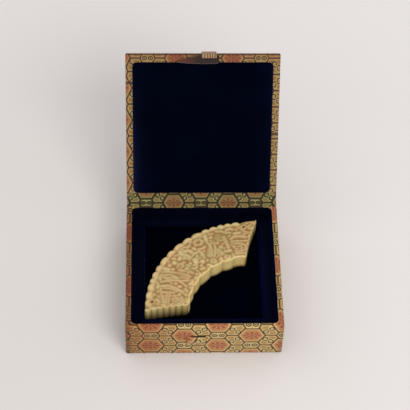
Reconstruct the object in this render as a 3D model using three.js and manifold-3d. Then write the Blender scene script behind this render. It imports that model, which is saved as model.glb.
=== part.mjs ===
import * as THREE from 'three';
import { mergeVertices } from 'three/addons/utils/BufferGeometryUtils.js';
import Module from 'manifold-3d';

// Carved jade arc pendant in its hinged brocade presentation case.
// Millimetres, +Z up. Origin: centre of the case's underside, front towards -Y.

// Clearances between pieces
const softGap = 0.3;
const restGap = 0.3;

// Walls and coverings
const wallBoard = 2.6;
const floorBoard = 2.4;
const brocadeCloth = 0.4;
const brocadeTurnIn = 6;
const brocadeTurnUnder = 9;
const paperSheet = 0.3;
const paperInset = 2.5;
const rimWidth = wallBoard + 2 * brocadeCloth;

// Lid, shut, lies over the rim with this gap for the hinge cloth
const shutGap = 1.0;
const lidThickness = 2.8;
const lidCloth = 0.35;
const lidTurnIn = 10;
const lidBorder = 4.5;
const lidOpenAngle = 118.1;
const lidPadThickness = 1.5;
const lidPadCorner = 3;
const lidPadEdge = 1.2;
const lidPadCrown = 0.25;
const lidPadShift = 0.8;

// Cloth hinge
const hingeSlack = 1.8;
const hingeCloth = 0.3;
const hingeInset = 0.4;
const hingeSideInset = 0.2;
const hingeHalfGap = 0.15;

// Pendant: a sector of a ring, lobed outside, scalloped inside, tapering a little to its lower end
const pendantThickness = 12.4;
const arcTurn = 44.6;
const outerRadius = 68.1;
const bandWidth = 28.7;
const bandTaper = 1.6;
const upperTipReach = 1.8;
const lowerTipReach = 0.2;
const upperOuterAngle = 49.9;
const upperInnerAngle = 41.9;
const lowerOuterAngle = 48.3;
const lowerInnerAngle = 43.9;
const lobeDepth = 1.1;
const lobeRoundness = 0.5;
const tipFlare = 9;
const scallopDepth = 1.0;
const scallopRoundness = 0.75;
const hollowShare = 0.5;
const fluteDepth = 0.7;
const fluteCount = 6;
const fluteLength = 1.9;
const edgeRoundWidth = 1.3;
const edgeRoundDrop = 0.9;
const fieldDepth = 1.1;
const beadRowWidth = 4.2;
const innerRimWidth = 1.9;
const endRimWidth = 1.5;
const rimBlend = 0.9;
const cordHoleInset = 4.3;
const cordHoleAngle = 42;
const cordHoleDiameter = 2.2;
const cordRingTop = 1.9;
const cordRingFoot = 2.7;
const cordRingSink = 0.15;

// Notches between the outer lobes and grooves between the inner scallops, as degrees from the
// pendant's axis. They were cut by eye, so no two stretches are alike.
const notchAngles = [
  -40.2, -35.0, -30.9, -26.6, -21.7, -16.7, -10.0, -3.9, 3.2, 9.0, 15.9, 20.9, 25.9, 29.6, 34.8, 40.4, 45.5,
];
const grooveAngles = [-29.6, -18.6, -5.6, 9.9, 21.4, 32.9];

// Raised motifs: half width as a share of the band's width, then the points of a line, each as
// its share of the way along the arc from the upper end and across the band from the inside
const motifShares = [
  [0.045, [0.192, 0.58], [0.182, 0.32]],
  [0.049, [0.238, 0.42]],
  [0.038, [0.337, 0.92], [0.332, 0.65]],
  [0.063, [0.334, 0.48], [0.358, 0.32]],
  [0.035, [0.292, 0.69], [0.288, 0.80]],
  [0.031, [0.419, 0.60], [0.395, 0.62], [0.361, 0.53]],
  [0.056, [0.401, 0.42]],
  [0.052, [0.479, 0.39]],
  [0.052, [0.445, 0.27]],
  [0.035, [0.570, 0.24], [0.529, 0.34]],
  [0.070, [0.311, 0.04]],
  [0.049, [0.398, 0.14]],
  [0.056, [0.533, 0.85]],
  [0.049, [0.491, 0.69]],
  [0.052, [0.612, 0.77]],
  [0.038, [0.540, 0.42]],
  [0.052, [0.598, 0.39]],
  [0.091, [0.721, 0.76], [0.698, 0.55], [0.671, 0.34], [0.670, 0.19]],
  [0.045, [0.763, 0.56]],
  [0.035, [0.816, 0.71], [0.809, 0.53], [0.819, 0.34], [0.836, 0.21]],
  [0.052, [0.875, 0.59]],
  [0.042, [0.900, 0.58], [0.972, 0.56]],
  [0.031, [0.844, 0.80], [0.881, 0.76], [0.926, 0.76]],
  [0.052, [0.506, 0.13]],
  [0.045, [0.595, 0.18]],
  [0.052, [0.644, 0.05]],
  [0.042, [0.808, 0.20]],
  [0.035, [0.151, 0.72], [0.098, 0.70], [0.052, 0.67]],
  [0.035, [0.153, 0.58], [0.074, 0.57], [0.029, 0.56]],
  [0.028, [0.247, 0.87], [0.166, 0.86], [0.118, 0.87]],
  [0.028, [0.169, 0.19], [0.092, 0.17], [0.009, 0.15]],
  [0.031, [0.278, 0.38], [0.242, 0.27], [0.234, 0.19]],
  [0.066, [0.074, 0.29]],
  [0.066, [0.947, 0.26]],
  [0.028, [0.733, 0.95], [0.779, 0.86]],
  [0.028, [0.878, 0.16], [0.961, 0.10]],
  [0.035, [0.750, 0.28], [0.751, 0.18]],
];
const motifRoundness = 0.375;
const groundShare = 0.15;

// Velvet tray: the well is as large as the pendant and its play, ledges fill in to the walls
const pendantLeftPlay = 0.6;
const pendantRightPlay = 1.44;
const pendantBackPlay = 0.4;
const pendantFrontPlay = 0.94;
const wellFloor = 13.3;
const wellPadThickness = 4.2;
const wellPadCorner = 2.5;
const wellPadEdge = 1.2;
const sideLedge = 8.4;
const frontLedge = 11.6;
const backLedge = 7.4;
const ledgeRise = 4.9;
const ledgeCrown = 0.9;
const ledgeEdge = 2.2;
const ledgeLean = 0.8;
const ledgeCornerGap = 0.15;
const liningThickness = 0.9;
const liningDrop = 0.8;
const rimAbovePendant = 3.7;

// Loop band on the front, the pin slips through it from the side
const loopCentreX = -5;
const loopWidth = 12.4;
const loopBottom = 11;
const loopTop = 20.2;
const loopCloth = 0.7;
const loopBulge = 2.1;
const loopFoot = 1.4;

// Strap and toggle pin at the lid's front edge
const strapCentreX = 3.8;
const strapWidth = 9.4;
const strapPly = 0.6;
const strapTailLength = 12;
const strapPoke = 1.7;
const strapRingReach = 1.6;
const strapRingDepth = 4.3;
const strapAxisOut = 1.3;
const strapLegDrop = 0.5;
const pinTipReach = 16.5;
const pinShoulderReach = 6.3;
const pinBellyReach = 3.1;
const pinHeadReach = 1.7;
const pinThickness = 1.6;
const pinLift = 2.1;
const pinEdgeOut = 0.3;
const pinEdgeEase = 0.5;
const pinTipInset = 4.1;
const pinBellyInset = 5.7;
const pinBluntInset = 5.1;
const pinBluntRound = 0.7;
const pinBevel = 0.25;
const slotInset = 0.6;
const slotWidth = 1.5;
const slotEndPlay = 0.4;

// How finely round forms are stepped, and how close points are joined
const arcSteps = 5;
const curveSteps = 8;
const alongSteps = 140;
const acrossSteps = 28;
const roundingShares = [0, 0.3, 1];
const holeSides = 16;
const ringSides = 24;
const cutOverrun = 1;
const weldDistance = 1e-4;

// Sizes that follow: well round the pendant, case round the well
const degrees = (angle) => angle * Math.PI / 180;
const upperTipRadius = outerRadius + upperTipReach;
const lowerTipRadius = outerRadius + lowerTipReach;
const upperTipTurn = degrees(upperOuterAngle - arcTurn);
const lowerTipTurn = degrees(lowerOuterAngle + arcTurn);
const upperTipRise = upperTipRadius * Math.cos(upperTipTurn);
const pendantSpan = outerRadius + upperTipRadius * Math.sin(upperTipTurn);
const pendantRise = upperTipRise - lowerTipRadius * Math.cos(lowerTipTurn);
const wellHalfX = (pendantSpan + pendantLeftPlay + pendantRightPlay) / 2;
const wellHalfY = (pendantRise + pendantFrontPlay + pendantBackPlay) / 2;
const wellShift = (frontLedge - backLedge) / 2;
const wallTotal = softGap + wallBoard + brocadeCloth;
const caseWidth = 2 * (wellHalfX + sideLedge + wallTotal);
const caseDepth = 2 * (wellHalfY + wallTotal) + frontLedge + backLedge;
const pendantBottom = wellFloor + restGap;
const caseHeight = pendantBottom + pendantThickness + rimAbovePendant;
const ledgeHeight = wellFloor + ledgeRise;
const arcCentreX = outerRadius + pendantLeftPlay - wellHalfX;
const arcCentreY = wellShift + wellHalfY - pendantBackPlay - upperTipRise;

const wasm = await Module();
wasm.setup();

const part = new THREE.Group();

// Finishes
const finish = (color, roughness) => new THREE.MeshStandardMaterial({ color, roughness, metalness: 0 });
const boardFinish = () => finish(0x9b8a6c, 0.9);
const brocadeFinish = () => finish(0xa98858, 0.75);
const velvetFinish = () => finish(0x03060f, 0.95);
const foamFinish = () => finish(0xd9d6cc, 0.95);
const paperFinish = () => finish(0xb9b2a0, 0.9);
const jadeFinish = () => finish(0xc9b184, 0.35);
const hornFinish = () => finish(0x33201a, 0.4);

function addPiece(parent, name, geometry, material) {
  const mesh = new THREE.Mesh(geometry, material);
  mesh.name = name;
  parent.add(mesh);
  return mesh;
}

// A box between two corners
function boxBetween(low, high) {
  const size = high.map((value, axis) => value - low[axis]);
  const middle = high.map((value, axis) => (value + low[axis]) / 2);
  const geometry = new THREE.BoxGeometry(...size);
  geometry.translate(...middle);
  return geometry;
}

// A box centred on the Z axis in X and Y
const squareBox = (halfX, halfY, bottom, top) => boxBetween([-halfX, -halfY, bottom], [halfX, halfY, top]);

function toSolid(geometry) {
  const bare = geometry.clone();
  bare.deleteAttribute('normal');
  bare.deleteAttribute('uv');
  const merged = mergeVertices(bare, weldDistance);
  return new wasm.Manifold(new wasm.Mesh({
    numProp: 3,
    vertProperties: new Float32Array(merged.attributes.position.array),
    triVerts: new Uint32Array(merged.index.array),
  }));
}

function toGeometry(solid) {
  const mesh = solid.getMesh();
  const geometry = new THREE.BufferGeometry();
  geometry.setAttribute('position', new THREE.BufferAttribute(mesh.vertProperties.slice(), 3));
  geometry.setIndex(new THREE.BufferAttribute(mesh.triVerts.slice(), 1));
  geometry.computeVertexNormals();
  return geometry;
}

function closedGeometry(points, faces) {
  const geometry = new THREE.BufferGeometry();
  geometry.setAttribute('position', new THREE.Float32BufferAttribute(points.flat(), 3));
  geometry.setIndex(faces.flat());
  geometry.computeVertexNormals();
  return geometry;
}

// Rings of points with equal counts, joined ring to ring and closed by a centre point at each end
function stackedRings(rings, firstCentre, lastCentre) {
  const count = rings[0].length;
  const points = rings.flat();
  const faces = [];
  for (let ring = 0; ring + 1 < rings.length; ring += 1) {
    for (let i = 0; i < count; i += 1) {
      const next = (i + 1) % count;
      const a = ring * count + i;
      const b = ring * count + next;
      faces.push([a, b, b + count], [a, b + count, a + count]);
    }
  }
  const first = points.push(firstCentre) - 1;
  const last = points.push(lastCentre) - 1;
  const lastRing = (rings.length - 1) * count;
  for (let i = 0; i < count; i += 1) {
    const next = (i + 1) % count;
    faces.push([first, next, i], [last, lastRing + i, lastRing + next]);
  }
  return closedGeometry(points, faces);
}

// Rounded square at one height, run anticlockwise
function roundedRing(halfX, halfY, corner, height) {
  const ring = [];
  const radius = Math.min(corner, halfX, halfY);
  const quarters = [[1, 1], [-1, 1], [-1, -1], [1, -1]];
  quarters.forEach(([signX, signY], quarter) => {
    for (let step = 0; step <= arcSteps; step += 1) {
      const angle = (quarter + step / arcSteps) * Math.PI / 2;
      ring.push([
        signX * (halfX - radius) + radius * Math.cos(angle),
        signY * (halfY - radius) + radius * Math.sin(angle),
        height,
      ]);
    }
  });
  return ring;
}

// Wadded pad: upright sides, a rounded shoulder and a low crown
function waddedPad(halfX, halfY, corner, bottom, thickness, edge, crown) {
  const rings = [roundedRing(halfX, halfY, corner, bottom)];
  const shoulder = bottom + thickness - crown - edge;
  for (let step = 0; step <= arcSteps; step += 1) {
    const angle = step / arcSteps * Math.PI / 2;
    const inset = edge * (1 - Math.cos(angle));
    const height = shoulder + edge * Math.sin(angle);
    rings.push(roundedRing(halfX - inset, halfY - inset, corner - inset, height));
  }
  const crownShares = [0.15, 0.45];
  crownShares.forEach((share) => {
    const inset = edge + share * (Math.min(halfX, halfY) - edge);
    const height = bottom + thickness - crown * (1 - share) ** 2;
    rings.push(roundedRing(halfX - inset, halfY - inset, corner, height));
  });
  return stackedRings(rings, [0, 0, bottom], [0, 0, bottom + thickness]);
}

// Outline in the YZ plane run out along X
function extrudeAlongX(shape, fromX, toX) {
  const settings = { depth: toX - fromX, bevelEnabled: false, curveSegments: curveSteps };
  const geometry = new THREE.ExtrudeGeometry(shape, settings);
  geometry.rotateX(Math.PI / 2);
  geometry.rotateZ(Math.PI / 2);
  geometry.translate(fromX, 0, 0);
  return geometry;
}

// Body boards
const boardHalfX = caseWidth / 2 - brocadeCloth;
const boardHalfY = caseDepth / 2 - brocadeCloth;
const insideHalfX = boardHalfX - wallBoard;
const insideHalfY = boardHalfY - wallBoard;
const clothBottom = paperSheet;
const boardBottom = clothBottom + brocadeCloth;
const boardTop = caseHeight - brocadeCloth;
const floorTop = boardBottom + floorBoard;

function addBodyBoards(parent) {
  const board = (name, low, high) => addPiece(parent, name, boxBetween(low, high), boardFinish());
  board('base_floor_board', [-insideHalfX, -insideHalfY, boardBottom], [insideHalfX, insideHalfY, floorTop]);
  board('base_front_board', [-boardHalfX, -boardHalfY, boardBottom], [boardHalfX, -insideHalfY, boardTop]);
  board('base_back_board', [-boardHalfX, insideHalfY, boardBottom], [boardHalfX, boardHalfY, boardTop]);
  board('base_left_board', [-boardHalfX, -insideHalfY, boardBottom], [-insideHalfX, insideHalfY, boardTop]);
  board('base_right_board', [insideHalfX, -insideHalfY, boardBottom], [boardHalfX, insideHalfY, boardTop]);
}

// Brocade round the body: over the rim and down inside it, and under the floor's edge.
// A paper sheet covers the turned edge and carries the case.
const rimHalfX = caseWidth / 2 - rimWidth;
const rimHalfY = caseDepth / 2 - rimWidth;

function addBodyBrocade(parent) {
  const outside = toSolid(squareBox(caseWidth / 2, caseDepth / 2, clothBottom, caseHeight));
  const hollow = toSolid(squareBox(boardHalfX, boardHalfY, boardBottom, boardTop));
  const rimTurn = toSolid(squareBox(insideHalfX, insideHalfY, boardTop - brocadeTurnIn, boardTop));
  const mouth = toSolid(squareBox(rimHalfX, rimHalfY, boardBottom, caseHeight + cutOverrun));
  const underHalfX = caseWidth / 2 - brocadeTurnUnder;
  const underHalfY = caseDepth / 2 - brocadeTurnUnder;
  const under = toSolid(squareBox(underHalfX, underHalfY, -cutOverrun, boardBottom + cutOverrun));
  const shell = outside.subtract(hollow).add(rimTurn).subtract(mouth).subtract(under);
  addPiece(parent, 'base_brocade', toGeometry(shell), brocadeFinish());
  const fillHalfX = underHalfX - softGap;
  const fillHalfY = underHalfY - softGap;
  const fill = toSolid(squareBox(fillHalfX, fillHalfY, 0, boardBottom));
  const sheet = toSolid(squareBox(caseWidth / 2 - paperInset, caseDepth / 2 - paperInset, 0, clothBottom));
  addPiece(parent, 'base_paper', toGeometry(sheet.add(fill)), paperFinish());
}

// Velvet tray: wadded ledges mitred at the corners, a well pad on a foam block, wall linings
const ledgeOuterX = insideHalfX - softGap;
const ledgeOuterY = insideHalfY - softGap;
const wellFront = wellShift - wellHalfY;
const wellBack = wellShift + wellHalfY;

// Outline from the wall to the well's edge, with the wall at y = 0 and the well towards +y
function ledgeOutline(width) {
  const top = ledgeHeight - ledgeEdge;
  const points = [[0, floorTop], [width, floorTop], [width, top]];
  for (let step = 1; step <= arcSteps; step += 1) {
    const angle = step / arcSteps * Math.PI / 2;
    points.push([
      width - ledgeEdge * (1 - Math.cos(angle)),
      top + (ledgeEdge + ledgeCrown) * Math.sin(angle),
    ]);
  }
  points.push([width / 2, ledgeHeight + ledgeCrown - ledgeLean / 4]);
  points.push([0, ledgeHeight + ledgeCrown - ledgeLean]);
  return points;
}

// A ledge is made along the front wall, then turned to its side
function addLedge(parent, name, width, outerHalf, alongHalf, alongStart, alongEnd, turn) {
  const outline = ledgeOutline(width).map(([y, z]) => [y - outerHalf, z]);
  const geometry = mitredLedge(outline, outerHalf, width, alongHalf, alongStart, alongEnd);
  geometry.rotateZ(turn);
  addPiece(parent, name, geometry, velvetFinish());
}

// Both ends run from the wall's corner to the well's corner
function mitredLedge(outline, outerHalf, width, alongHalf, alongStart, alongEnd) {
  const contour = outline.map(([y, z]) => new THREE.Vector2(y, z));
  const caps = THREE.ShapeUtils.triangulateShape(contour, []);
  const count = outline.length;
  const points = [];
  [[-alongHalf, alongStart, 1], [alongHalf, alongEnd, -1]].forEach(([wallEnd, wellEnd, inward]) => {
    outline.forEach(([y, z]) => {
      const share = (y + outerHalf) / width;
      points.push([wallEnd + (wellEnd - wallEnd) * share + inward * ledgeCornerGap, y, z]);
    });
  });
  const faces = [];
  caps.forEach(([a, b, c]) => faces.push([c, b, a], [a + count, b + count, c + count]));
  for (let i = 0; i < count; i += 1) {
    const next = (i + 1) % count;
    faces.push([i, next, next + count], [i, next + count, i + count]);
  }
  return closedGeometry(points, faces);
}

function addTray(parent) {
  const frontWidth = wellFront + ledgeOuterY;
  const backWidth = ledgeOuterY - wellBack;
  const sideWidth = ledgeOuterX - wellHalfX;
  const quarter = Math.PI / 2;
  addLedge(parent, 'ledge_front', frontWidth, ledgeOuterY, ledgeOuterX, -wellHalfX, wellHalfX, 0);
  addLedge(parent, 'ledge_right', sideWidth, ledgeOuterX, ledgeOuterY, wellFront, wellBack, quarter);
  addLedge(parent, 'ledge_back', backWidth, ledgeOuterY, ledgeOuterX, -wellHalfX, wellHalfX, 2 * quarter);
  addLedge(parent, 'ledge_left', sideWidth, ledgeOuterX, ledgeOuterY, -wellBack, -wellFront, 3 * quarter);

  const padHalfX = wellHalfX - softGap;
  const padHalfY = wellHalfY - softGap;
  const padBottom = wellFloor - wellPadThickness;
  const pad = waddedPad(padHalfX, padHalfY, wellPadCorner, padBottom, wellPadThickness, wellPadEdge, 0);
  pad.translate(0, wellShift, 0);
  addPiece(parent, 'well_pad', pad, velvetFinish());
  const block = squareBox(padHalfX, padHalfY, floorTop, padBottom);
  block.translate(0, wellShift, 0);
  addPiece(parent, 'well_block', block, foamFinish());

  const liningBottom = ledgeHeight + ledgeCrown + softGap;
  const liningTop = caseHeight - liningDrop;
  const sideHalfY = rimHalfY - liningThickness;
  const lining = (name, low, high) => addPiece(
    parent, name, boxBetween([...low, liningBottom], [...high, liningTop]), velvetFinish(),
  );
  lining('lining_front', [-rimHalfX, -rimHalfY], [rimHalfX, -sideHalfY]);
  lining('lining_back', [-rimHalfX, sideHalfY], [rimHalfX, rimHalfY]);
  lining('lining_left', [-rimHalfX, -sideHalfY], [-rimHalfX + liningThickness, sideHalfY]);
  lining('lining_right', [rimHalfX - liningThickness, -sideHalfY], [rimHalfX, sideHalfY]);
}

// Brocade loop band, glued at its top and bottom feet, bowed off the front between them
function addLoopBand(parent) {
  const face = -caseDepth / 2;
  const middle = (loopTop + loopBottom) / 2;
  const out = face - loopBulge;
  const shape = new THREE.Shape();
  const innerTop = loopTop - loopFoot;
  const innerBottom = loopBottom + loopFoot;
  shape.moveTo(face, loopTop);
  shape.lineTo(face - loopCloth, loopTop);
  shape.bezierCurveTo(
    out - loopCloth, innerTop, out - loopCloth, middle, out - loopCloth, middle,
  );
  shape.bezierCurveTo(
    out - loopCloth, middle, out - loopCloth, innerBottom, face - loopCloth, loopBottom,
  );
  shape.lineTo(face, loopBottom);
  shape.lineTo(face, innerBottom);
  shape.bezierCurveTo(out, innerBottom + loopFoot / 2, out, middle, out, middle);
  shape.bezierCurveTo(out, middle, out, innerTop - loopFoot / 2, face, innerTop);
  const geometry = extrudeAlongX(shape, loopCentreX - loopWidth / 2, loopCentreX + loopWidth / 2);
  addPiece(parent, 'loop_band', geometry, brocadeFinish());
}

// Hinge line, behind and just above the back rim
const hingeY = caseDepth / 2 + hingeSlack;
const hingeZ = caseHeight + shutGap / 2;

const hingeHalfX = caseWidth / 2 - hingeSideInset;

function addHingeClothBase(parent) {
  const low = [-hingeHalfX, rimHalfY + hingeInset, caseHeight];
  const high = [hingeHalfX, hingeY - hingeHalfGap, caseHeight + hingeCloth];
  addPiece(parent, 'hinge_cloth_base', boxBetween(low, high), brocadeFinish());
}

// Lid, modelled shut and about the hinge line, then swung open with its group.
// Its inner face is half the shut gap above the hinge line.
const lidInner = shutGap / 2;
const lidOuter = lidInner + lidThickness;
const lidBack = -hingeSlack;
const lidFront = lidBack - caseDepth;
const lidMiddle = (lidBack + lidFront) / 2;

function lidBox(inset, bottom, top) {
  const geometry = squareBox(caseWidth / 2 - inset, caseDepth / 2 - inset, bottom, top);
  geometry.translate(0, lidMiddle, 0);
  return geometry;
}

function addLid(parent) {
  const boardInset = lidCloth + softGap;
  const board = lidBox(boardInset, lidInner + boardInset, lidOuter - boardInset);
  addPiece(parent, 'lid_board', board, boardFinish());

  const hollow = toSolid(lidBox(lidCloth, lidInner + lidCloth, lidOuter - lidCloth));
  const window = toSolid(lidBox(lidTurnIn, lidInner - cutOverrun, lidInner + lidCloth + cutOverrun / 2));
  const wrap = toSolid(lidBox(0, lidInner, lidOuter)).subtract(hollow).subtract(window);
  addPiece(parent, 'lid_brocade', toGeometry(wrap), brocadeFinish());

  const padHalfX = caseWidth / 2 - lidBorder;
  const padHalfY = caseDepth / 2 - lidBorder;
  const pad = waddedPad(padHalfX, padHalfY, lidPadCorner, 0, lidPadThickness, lidPadEdge, lidPadCrown);
  pad.rotateX(Math.PI);
  pad.translate(0, lidMiddle + lidPadShift, lidInner - softGap);
  addPiece(parent, 'lid_velvet_pad', pad, velvetFinish());

  const clothTop = lidInner - softGap;
  const padBack = lidBack - lidBorder + lidPadShift;
  const low = [-hingeHalfX, padBack + softGap, clothTop - hingeCloth];
  const high = [hingeHalfX, -hingeHalfGap, clothTop];
  addPiece(parent, 'hinge_cloth_lid', boxBetween(low, high), brocadeFinish());
}

// Strap: its tail lies on the lid's outer face and turns down over the front edge
const strapLow = strapCentreX - strapWidth / 2;
const strapHigh = strapCentreX + strapWidth / 2;
const strapAxisY = lidFront - strapAxisOut;
const strapAxisZ = lidInner;

function addStrapTail(parent) {
  const under = lidOuter + softGap;
  const outline = [
    [lidFront + strapTailLength, under],
    [lidFront - softGap, under],
    [lidFront - softGap, strapAxisZ + strapLegDrop],
    [lidFront - strapAxisOut, strapAxisZ + strapLegDrop],
    [lidFront - strapAxisOut, under + strapPly / 2],
    [lidFront - strapAxisOut + strapPly / 2, under + strapPly],
    [lidFront + strapTailLength, under + strapPly],
  ];
  const shape = new THREE.Shape(outline.map(([y, z]) => new THREE.Vector2(y, z)));
  addPiece(parent, 'strap_tail', extrudeAlongX(shape, strapLow, strapHigh), brocadeFinish());
}

// Strap loop: a flat ring of cloth that goes through the pin's slot
function addStrapLoop(parent) {
  const left = lidFront - strapPoke;
  const right = lidFront + strapRingReach;
  const top = lidInner - softGap;
  const bottom = top - strapRingDepth;
  const bend = strapPly / 2;
  const outer = bevelledRectangle(left, right, bottom, top, 2 * bend);
  const inner = [left + strapPly, right - strapPly, bottom + strapPly, top - strapPly];
  outer.holes.push(bevelledRectangle(...inner, bend));
  addPiece(parent, 'strap_loop', extrudeAlongX(outer, strapLow, strapHigh), brocadeFinish());
}

function bevelledRectangle(left, right, bottom, top, cut) {
  const corners = [
    [left + cut, bottom], [right - cut, bottom], [right, bottom + cut], [right, top - cut],
    [right - cut, top], [left + cut, top], [left, top - cut], [left, bottom + cut],
  ];
  return new THREE.Shape(corners.map(([y, z]) => new THREE.Vector2(y, z)));
}

// Toggle pin: a flat slip, pointed at one end, slotted along its upper edge
const pinTop = lidInner - pinLift;
const pinTipX = strapLow - pinTipReach;
const pinShoulderX = strapLow - pinShoulderReach;
const pinBellyX = strapLow - pinBellyReach;
const pinBluntX = strapHigh + pinHeadReach;

function addTogglePin(parent) {
  const edge = lidFront - pinEdgeOut;
  const shape = new THREE.Shape();
  const tipY = lidFront + pinTipInset;
  const bluntY = lidFront + pinBluntInset;
  const bellyY = lidFront + pinBellyInset;
  shape.moveTo(pinTipX, tipY);
  shape.quadraticCurveTo((pinTipX + pinShoulderX) / 2, edge + pinEdgeEase, pinShoulderX, edge);
  shape.lineTo(pinBluntX - pinBluntRound, edge);
  shape.lineTo(pinBluntX, edge + pinBluntRound);
  shape.lineTo(pinBluntX, bluntY - pinBluntRound);
  shape.lineTo(pinBluntX - pinBluntRound, bluntY);
  shape.quadraticCurveTo(pinBellyX, bellyY + pinEdgeEase, pinTipX + pinBluntRound, tipY + pinEdgeEase);
  const slot = new THREE.Path();
  const slotLow = strapLow - slotEndPlay;
  const slotHigh = strapHigh + slotEndPlay;
  const slotY = lidFront + slotInset;
  slot.moveTo(slotLow, slotY);
  slot.lineTo(slotLow, slotY + slotWidth);
  slot.lineTo(slotHigh, slotY + slotWidth);
  slot.lineTo(slotHigh, slotY);
  shape.holes.push(slot);
  const geometry = new THREE.ExtrudeGeometry(shape, {
    depth: pinThickness - 2 * pinBevel,
    bevelThickness: pinBevel,
    bevelSize: pinBevel,
    bevelOffset: -pinBevel,
    bevelSegments: 1,
    curveSegments: curveSteps,
  });
  geometry.translate(0, 0, pinTop - pinThickness + pinBevel);
  addPiece(parent, 'toggle_pin', geometry, hornFinish());
}

// Pendant, about the centre of its arc, its axis along +Y. Angles run from the axis towards the
// lower end. The stretch between two marks that holds an angle, and how far along it that is.
function stretchAt(angle, marks) {
  const next = marks.findIndex((mark) => mark > angle);
  if (next < 1) {
    return null;
  }
  const start = marks[next - 1];
  return { index: next - 1, share: (angle - start) / (marks[next] - start) };
}

const swell = (share, roundness) => Math.max(0, Math.sin(Math.PI * share)) ** roundness;
const limit = (value) => Math.min(1, Math.max(0, value));

// Rounded lobes between sharp notches along the outer edge, a short flare beyond them to each tip
function outerEdge(angle) {
  const stretch = stretchAt(angle, notchAngles);
  if (stretch) {
    return outerRadius - lobeDepth * (1 - swell(stretch.share, lobeRoundness));
  }
  const upper = angle < notchAngles[0];
  const notch = upper ? notchAngles[0] : notchAngles.at(-1);
  const tipAngle = upper ? -upperOuterAngle : lowerOuterAngle;
  const tipReach = upper ? upperTipReach : lowerTipReach;
  const share = (angle - notch) / (tipAngle - notch);
  return outerRadius - lobeDepth * Math.exp(-share * tipFlare) + tipReach * share;
}

// Fewer, wider scallops along the inner edge. The stretch next to the upper end is hollow.
const innerMarks = [-upperInnerAngle, ...grooveAngles, lowerInnerAngle];

function innerEdge(along) {
  const angle = THREE.MathUtils.lerp(-upperInnerAngle, lowerInnerAngle, along);
  const stretch = stretchAt(angle, innerMarks) ?? { index: grooveAngles.length, share: 1 };
  const depth = stretch.index === 0 ? -hollowShare * scallopDepth : scallopDepth;
  const groove = outerRadius - bandWidth + scallopDepth / 2 + bandTaper * (along - 0.5);
  return groove - depth * swell(stretch.share, scallopRoundness);
}

// Point of the pendant at a share along the arc and a share across it
function pendantPoint(along, across) {
  const innerAngle = THREE.MathUtils.lerp(-upperInnerAngle, lowerInnerAngle, along);
  const outerAngle = THREE.MathUtils.lerp(-upperOuterAngle, lowerOuterAngle, along);
  const inner = innerEdge(along);
  const outer = outerEdge(outerAngle);
  const radius = THREE.MathUtils.lerp(inner, outer, across);
  const perAngle = degrees(1) * radius;
  const angle = THREE.MathUtils.lerp(innerAngle, outerAngle, across);
  const fullAngle = THREE.MathUtils.lerp(
    upperInnerAngle + lowerInnerAngle, upperOuterAngle + lowerOuterAngle, across,
  );
  const fromEnd = Math.min(along, 1 - along) * fullAngle * perAngle;
  const ripple = 1 - Math.abs(Math.sin(Math.PI * fluteCount * across));
  const flute = fluteDepth * ripple * limit(1 - fromEnd / fluteLength);
  const turned = degrees(angle) + Math.sign(1 - 2 * along) * flute / radius;
  return {
    x: -radius * Math.sin(turned),
    y: radius * Math.cos(turned),
    angle: outerAngle,
    fromInside: across * (outer - inner),
    fromOutside: (1 - across) * (outer - inner),
    fromEnd,
  };
}

const motifs = motifShares.map(([widthShare, ...places]) => ({
  halfWidth: widthShare * bandWidth,
  line: places.map(([along, across]) => {
    const { x, y } = pendantPoint(along, across);
    return new THREE.Vector3(x, y, 0);
  }),
}));

// Distance of a place from a motif's line
function distanceTo(place, line) {
  if (line.length === 1) {
    return place.distanceTo(line[0]);
  }
  const nearest = new THREE.Vector3();
  const stretch = new THREE.Line3();
  const distances = line.slice(1).map((end, i) => {
    stretch.set(line[i], end).closestPointToPoint(place, true, nearest);
    return place.distanceTo(nearest);
  });
  return Math.min(...distances);
}

// Height: motifs rise from a sunk field, with a row of beads behind the outer lobes, a rim along
// the inner edge and the ends, and all edges softened
function carvedHeight({ x, y, angle, fromInside, fromOutside, fromEnd }) {
  const place = new THREE.Vector3(x, y, 0);
  let relief = groundShare;
  motifs.forEach(({ halfWidth, line }) => {
    const off = distanceTo(place, line) / halfWidth;
    if (off < 1) {
      relief = Math.max(relief, (1 - off * off) ** motifRoundness);
    }
  });
  const stretch = stretchAt(angle, notchAngles);
  if (stretch) {
    const bead = swell(stretch.share, lobeRoundness) * swell(limit(fromOutside / beadRowWidth), lobeRoundness);
    const inRow = limit((beadRowWidth - fromOutside) / rimBlend);
    relief = THREE.MathUtils.lerp(relief, bead, inRow);
  }
  relief = THREE.MathUtils.lerp(relief, 1, limit((innerRimWidth - fromInside) / rimBlend));
  relief = THREE.MathUtils.lerp(relief, 1, limit((endRimWidth - fromEnd) / rimBlend));
  const inward = limit(Math.min(fromInside, fromOutside, fromEnd) / edgeRoundWidth);
  const rounding = edgeRoundDrop * (1 - Math.sqrt(1 - (1 - inward) ** 2));
  return pendantThickness - rounding - fieldDepth * (1 - relief);
}

// Shares along the arc: a row at every notch and groove, even steps between them, and close rows
// where the ends are rounded
function alongShares() {
  const outerSpan = upperOuterAngle + lowerOuterAngle;
  const innerSpan = upperInnerAngle + lowerInnerAngle;
  const roundedShare = edgeRoundWidth / (degrees(innerSpan) * outerRadius);
  const marks = [
    ...roundingShares.map((share) => share * roundedShare),
    ...notchAngles.map((angle) => (angle + upperOuterAngle) / outerSpan),
    ...grooveAngles.map((angle) => (angle + upperInnerAngle) / innerSpan),
    ...roundingShares.map((share) => 1 - share * roundedShare),
  ];
  marks.sort((a, b) => a - b);
  const shares = [0];
  marks.slice(1).forEach((end, i) => {
    const start = marks[i];
    const steps = Math.max(1, Math.round((end - start) * alongSteps));
    for (let step = 1; step <= steps; step += 1) {
      shares.push(THREE.MathUtils.lerp(start, end, step / steps));
    }
  });
  return shares;
}

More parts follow.
